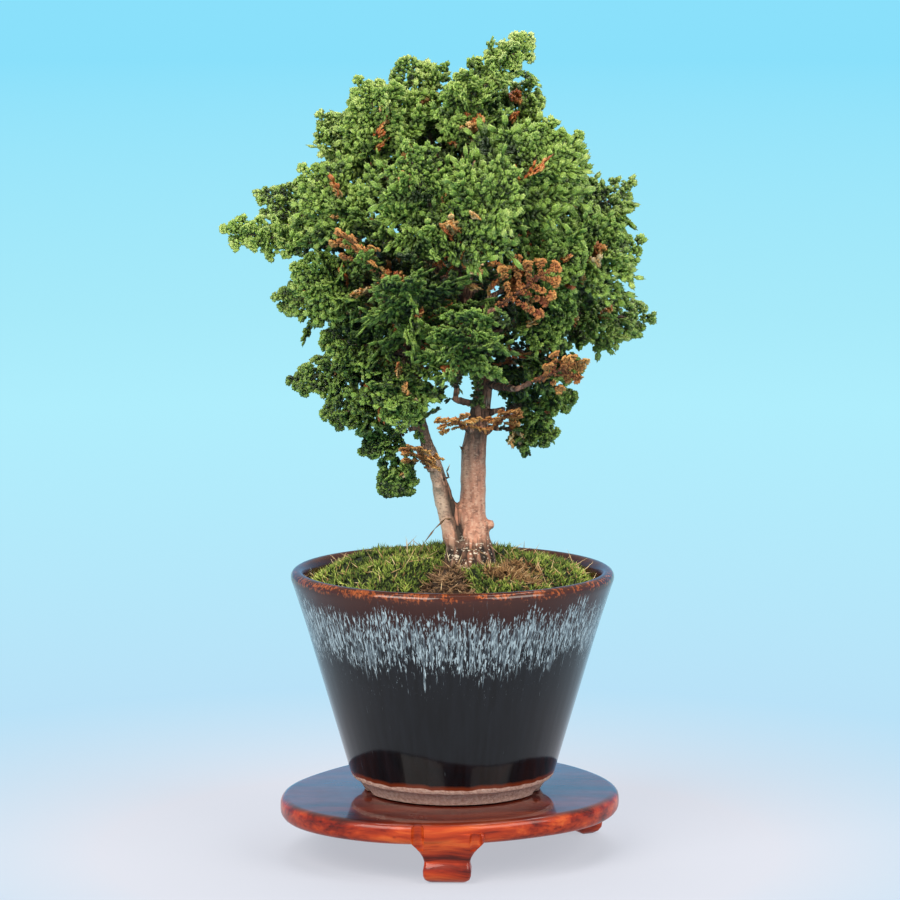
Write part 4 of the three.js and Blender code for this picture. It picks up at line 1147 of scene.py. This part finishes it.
stand = {
    "top": 14.0, "thickness": 5.0, "steps": 144, "smoothBelow": 38,
    # Outer radius of the plate every 30 degrees, from +X and turning towards the back
    "outline": [39.4, 39.2, 40.4, 40, 38.6, 37.4, 40, 42.6, 41.2, 38.4, 37.2, 38.8],
    "legAngles": [-92, 28, 148],
    # Width, segments and least angle of each bevel
    "edgeBevel": (2.1 * mm, 6, 60), "legBevel": (1.1 * mm, 4, 50), "lastBevel": (0.28 * mm, 2, 42),
    "edgeProfile": 0.55,
    # Height above the floor, inner and outer distance past the plate's edge, and width of the leg
    "levels": [(11.8, -10, -0.25, 17.4), (9.6, -9.4, -0.35, 17.0), (8.9, -8.8, -0.5, 15.8),
               (8.0, -8.3, -0.8, 14.0), (7.0, -7.8, -1.25, 12.4), (5.8, -7.3, -1.75, 11.1),
               (4.7, -7.0, -1.8, 10.4), (3.9, -7.0, -1.2, 10.5), (2.8, -7.1, -0.75, 11.0),
               (1.6, -7.0, -0.95, 10.9), (0.7, -6.8, -1.5, 10.3), (0.0, -6.4, -2.5, 8.6)],
    # The two grooves beside each leg
    "grooveSpacing": 13.2, "grooveDepth": 1.1, "grooveRadius": 1.5, "grooveSides": 24, "grooveLength": 9,
    "grooveHeight": 0.0119, "grooveLean": 8,
}


def plateRadius(angle):
    # A smooth curve through the radii of the outline
    place = (angle % 360) / 30
    index = int(place)
    share = place - index
    before, start, end, after = (stand["outline"][(index + k) % 12] for k in (-1, 0, 1, 2))
    slope, endSlope, rise = (end - before) / 2, (after - start) / 2, end - start
    return start + share * (slope + share * (3 * rise - 2 * slope - endSlope
                                             + share * (slope + endSlope - 2 * rise)))


def atEdge(angle, past, height):
    # From the origin to the plate's edge, or past it, turned outwards
    outwards = Matrix.Rotation(math.radians(angle), 4, "Z")
    reach = Matrix.Translation((plateRadius(angle) * mm + past, 0, 0))
    return Matrix.Translation((axisX, axisY, height)) @ outwards @ reach


def makeLeg(angle):
    height, inner, outer, width = stand["levels"][0]
    leg = added(bpy.ops.mesh.primitive_plane_add, size=1,
                location=((inner + outer) / 2 * mm, 0, height * mm))
    leg.scale = ((outer - inner) * mm, width * mm, 1)
    settle(leg)
    editAll()
    for nextHeight, nextInner, nextOuter, nextWidth in stand["levels"][1:]:
        shift = ((nextInner + nextOuter - inner - outer) / 2 * mm, 0, (nextHeight - height) * mm)
        bpy.ops.mesh.extrude_region_move(TRANSFORM_OT_translate={"value": shift})
        bpy.ops.transform.resize(value=((nextOuter - nextInner) / (outer - inner), nextWidth / width, 1),
                                 center_override=((nextInner + nextOuter) / 2 * mm, 0, nextHeight * mm))
        height, inner, outer, width = nextHeight, nextInner, nextOuter, nextWidth
    bpy.ops.mesh.select_all(action="SELECT")
    bpy.ops.mesh.normals_make_consistent(inside=False)
    leaveEdit()
    bevelEdges(leg, *stand["legBevel"])
    leg.data.transform(atEdge(angle, 0, 0))
    return leg


def makeGroove(angle, sideways):
    radius = stand["grooveRadius"]
    cutter = added(bpy.ops.mesh.primitive_cylinder_add, vertices=stand["grooveSides"], radius=radius * mm,
                   depth=stand["grooveLength"] * mm, location=(0, 0, 0))
    lean = Matrix.Rotation(math.radians(stand["grooveLean"]), 4, "Y")
    place = atEdge(angle, (radius - stand["grooveDepth"]) * mm, stand["grooveHeight"])
    cutter.data.transform(place @ Matrix.Translation((0, sideways * mm, 0)) @ lean)
    return cutter


def makeStand():
    middle = (stand["top"] - stand["thickness"] / 2) * mm
    plate = added(bpy.ops.mesh.primitive_cylinder_add, vertices=stand["steps"], radius=1,
                  depth=stand["thickness"] * mm, location=(0, 0, middle))
    settle(plate)
    for vert in plate.data.vertices:
        angle = math.degrees(math.atan2(vert.co.y, vert.co.x))
        radius = plateRadius(angle) * mm
        vert.co.x = axisX + radius * math.cos(math.radians(angle))
        vert.co.y = axisY + radius * math.sin(math.radians(angle))
    bevelEdges(plate, *stand["edgeBevel"], profile=stand["edgeProfile"])
    for angle in stand["legAngles"]:
        combine(plate, "UNION", makeLeg(angle))
        for side in (-0.5, 0.5):
            combine(plate, "DIFFERENCE", makeGroove(angle, side * stand["grooveSpacing"]))
    bevelEdges(plate, *stand["lastBevel"])
    return finishPiece(plate, "carved_stand", lacquerMaterial, ["stand"],
                       stand["smoothBelow"])


print("stand", makeStand(), "triangles")


# What stays as the CAD made it

for name, material in (("soil", soilMaterial), ("drain_net", netMaterial)):
    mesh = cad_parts[name].data
    mesh.materials.clear()
    mesh.materials.append(material)


# Floor and light

room = {
    "radius": 300.0, "low": -0.0002, "near": 0.08, "far": 10.0,
    "white": "#6e6e74", "whiteGlow": "#b4b8c0", "pool": 0.19,  # share where the pool of white ends
    "sky": [(0.19, "#b9e2f8"), (0.51, "#afeefd"), (0.6, "#a7eafa"), (0.99, "#8ae0fb")],
    "air": [(0.0, "#84c8fb"), (0.28, "#8fcdf7"), (0.5, "#b4c9d2"), (0.75, "#bcc2c6")], "airStrength": 0.85,
    "aim": (0, 0, 0.09),
    # Place, size, power and tone of each lamp
    "lamps": {
        "left front box": ((-0.5, -0.66, 0.74), (0.75, 0.55), 14.0, "#fff8ee"),
        "right front box": ((0.66, -0.56, 0.66), (0.7, 0.5), 9.0, "#fff8ee"),
        "top": ((0.05, 0.2, 0.85), (0.6, 0.5), 6.0, "#ffffff"),
    },
}


def makeFloor():
    floor = added(bpy.ops.mesh.primitive_circle_add, vertices=128, radius=room["radius"],
                  fill_type="NGON", location=(0, 0, room["low"]))
    floor.name = "floor"
    settle(floor)
    material, shader, surface = newMaterial("pale floor")
    x, y = shader.split(shader.place())[:2]
    away = shader.vector("LENGTH", shader.join(x, y, 0.0))
    far = shader.maths("LOGARITHM", shader.most(away, 0.01), 10.0)
    share = shader.fade(far, math.log10(room["near"]), math.log10(room["far"]))
    feed(shader, surface, roughness=0.8, specular=0.0, glowStrength=1.0,
         baseColor=shader.ramp(share, [(0.0, room["white"]), (room["pool"], "#000000")]),
         glow=shader.ramp(share, [(0.0, room["whiteGlow"])] + room["sky"]))
    floor.data.materials.append(material)


def makeAir():
    world = bpy.data.worlds.new("studio")
    bpy.context.scene.world = world
    world.use_nodes = True
    air = Shader(world.node_tree)
    up = air.split(air.node("TexCoord").outputs["Generated"])[2]
    background = world.node_tree.nodes["Background"]
    air.give(background.inputs["Color"], air.ramp(air.fade(up, 0.0, 1.0), room["air"]))
    air.give(background.inputs["Strength"], room["airStrength"])


def makeLamps():
    for name, (place, size, power, tone) in room["lamps"].items():
        data = bpy.data.lights.new(name, "AREA")
        data.shape = "RECTANGLE"
        data.size, data.size_y = size
        data.energy = power
        data.color = colour(tone)[:3]
        lamp = linked(name, data)
        lamp.location = place
        lamp.rotation_euler = (Vector(room["aim"]) - Vector(place)).to_track_quat("-Z", "Y").to_euler()


makeFloor()
makeAir()
makeLamps()
print("floor and light made")
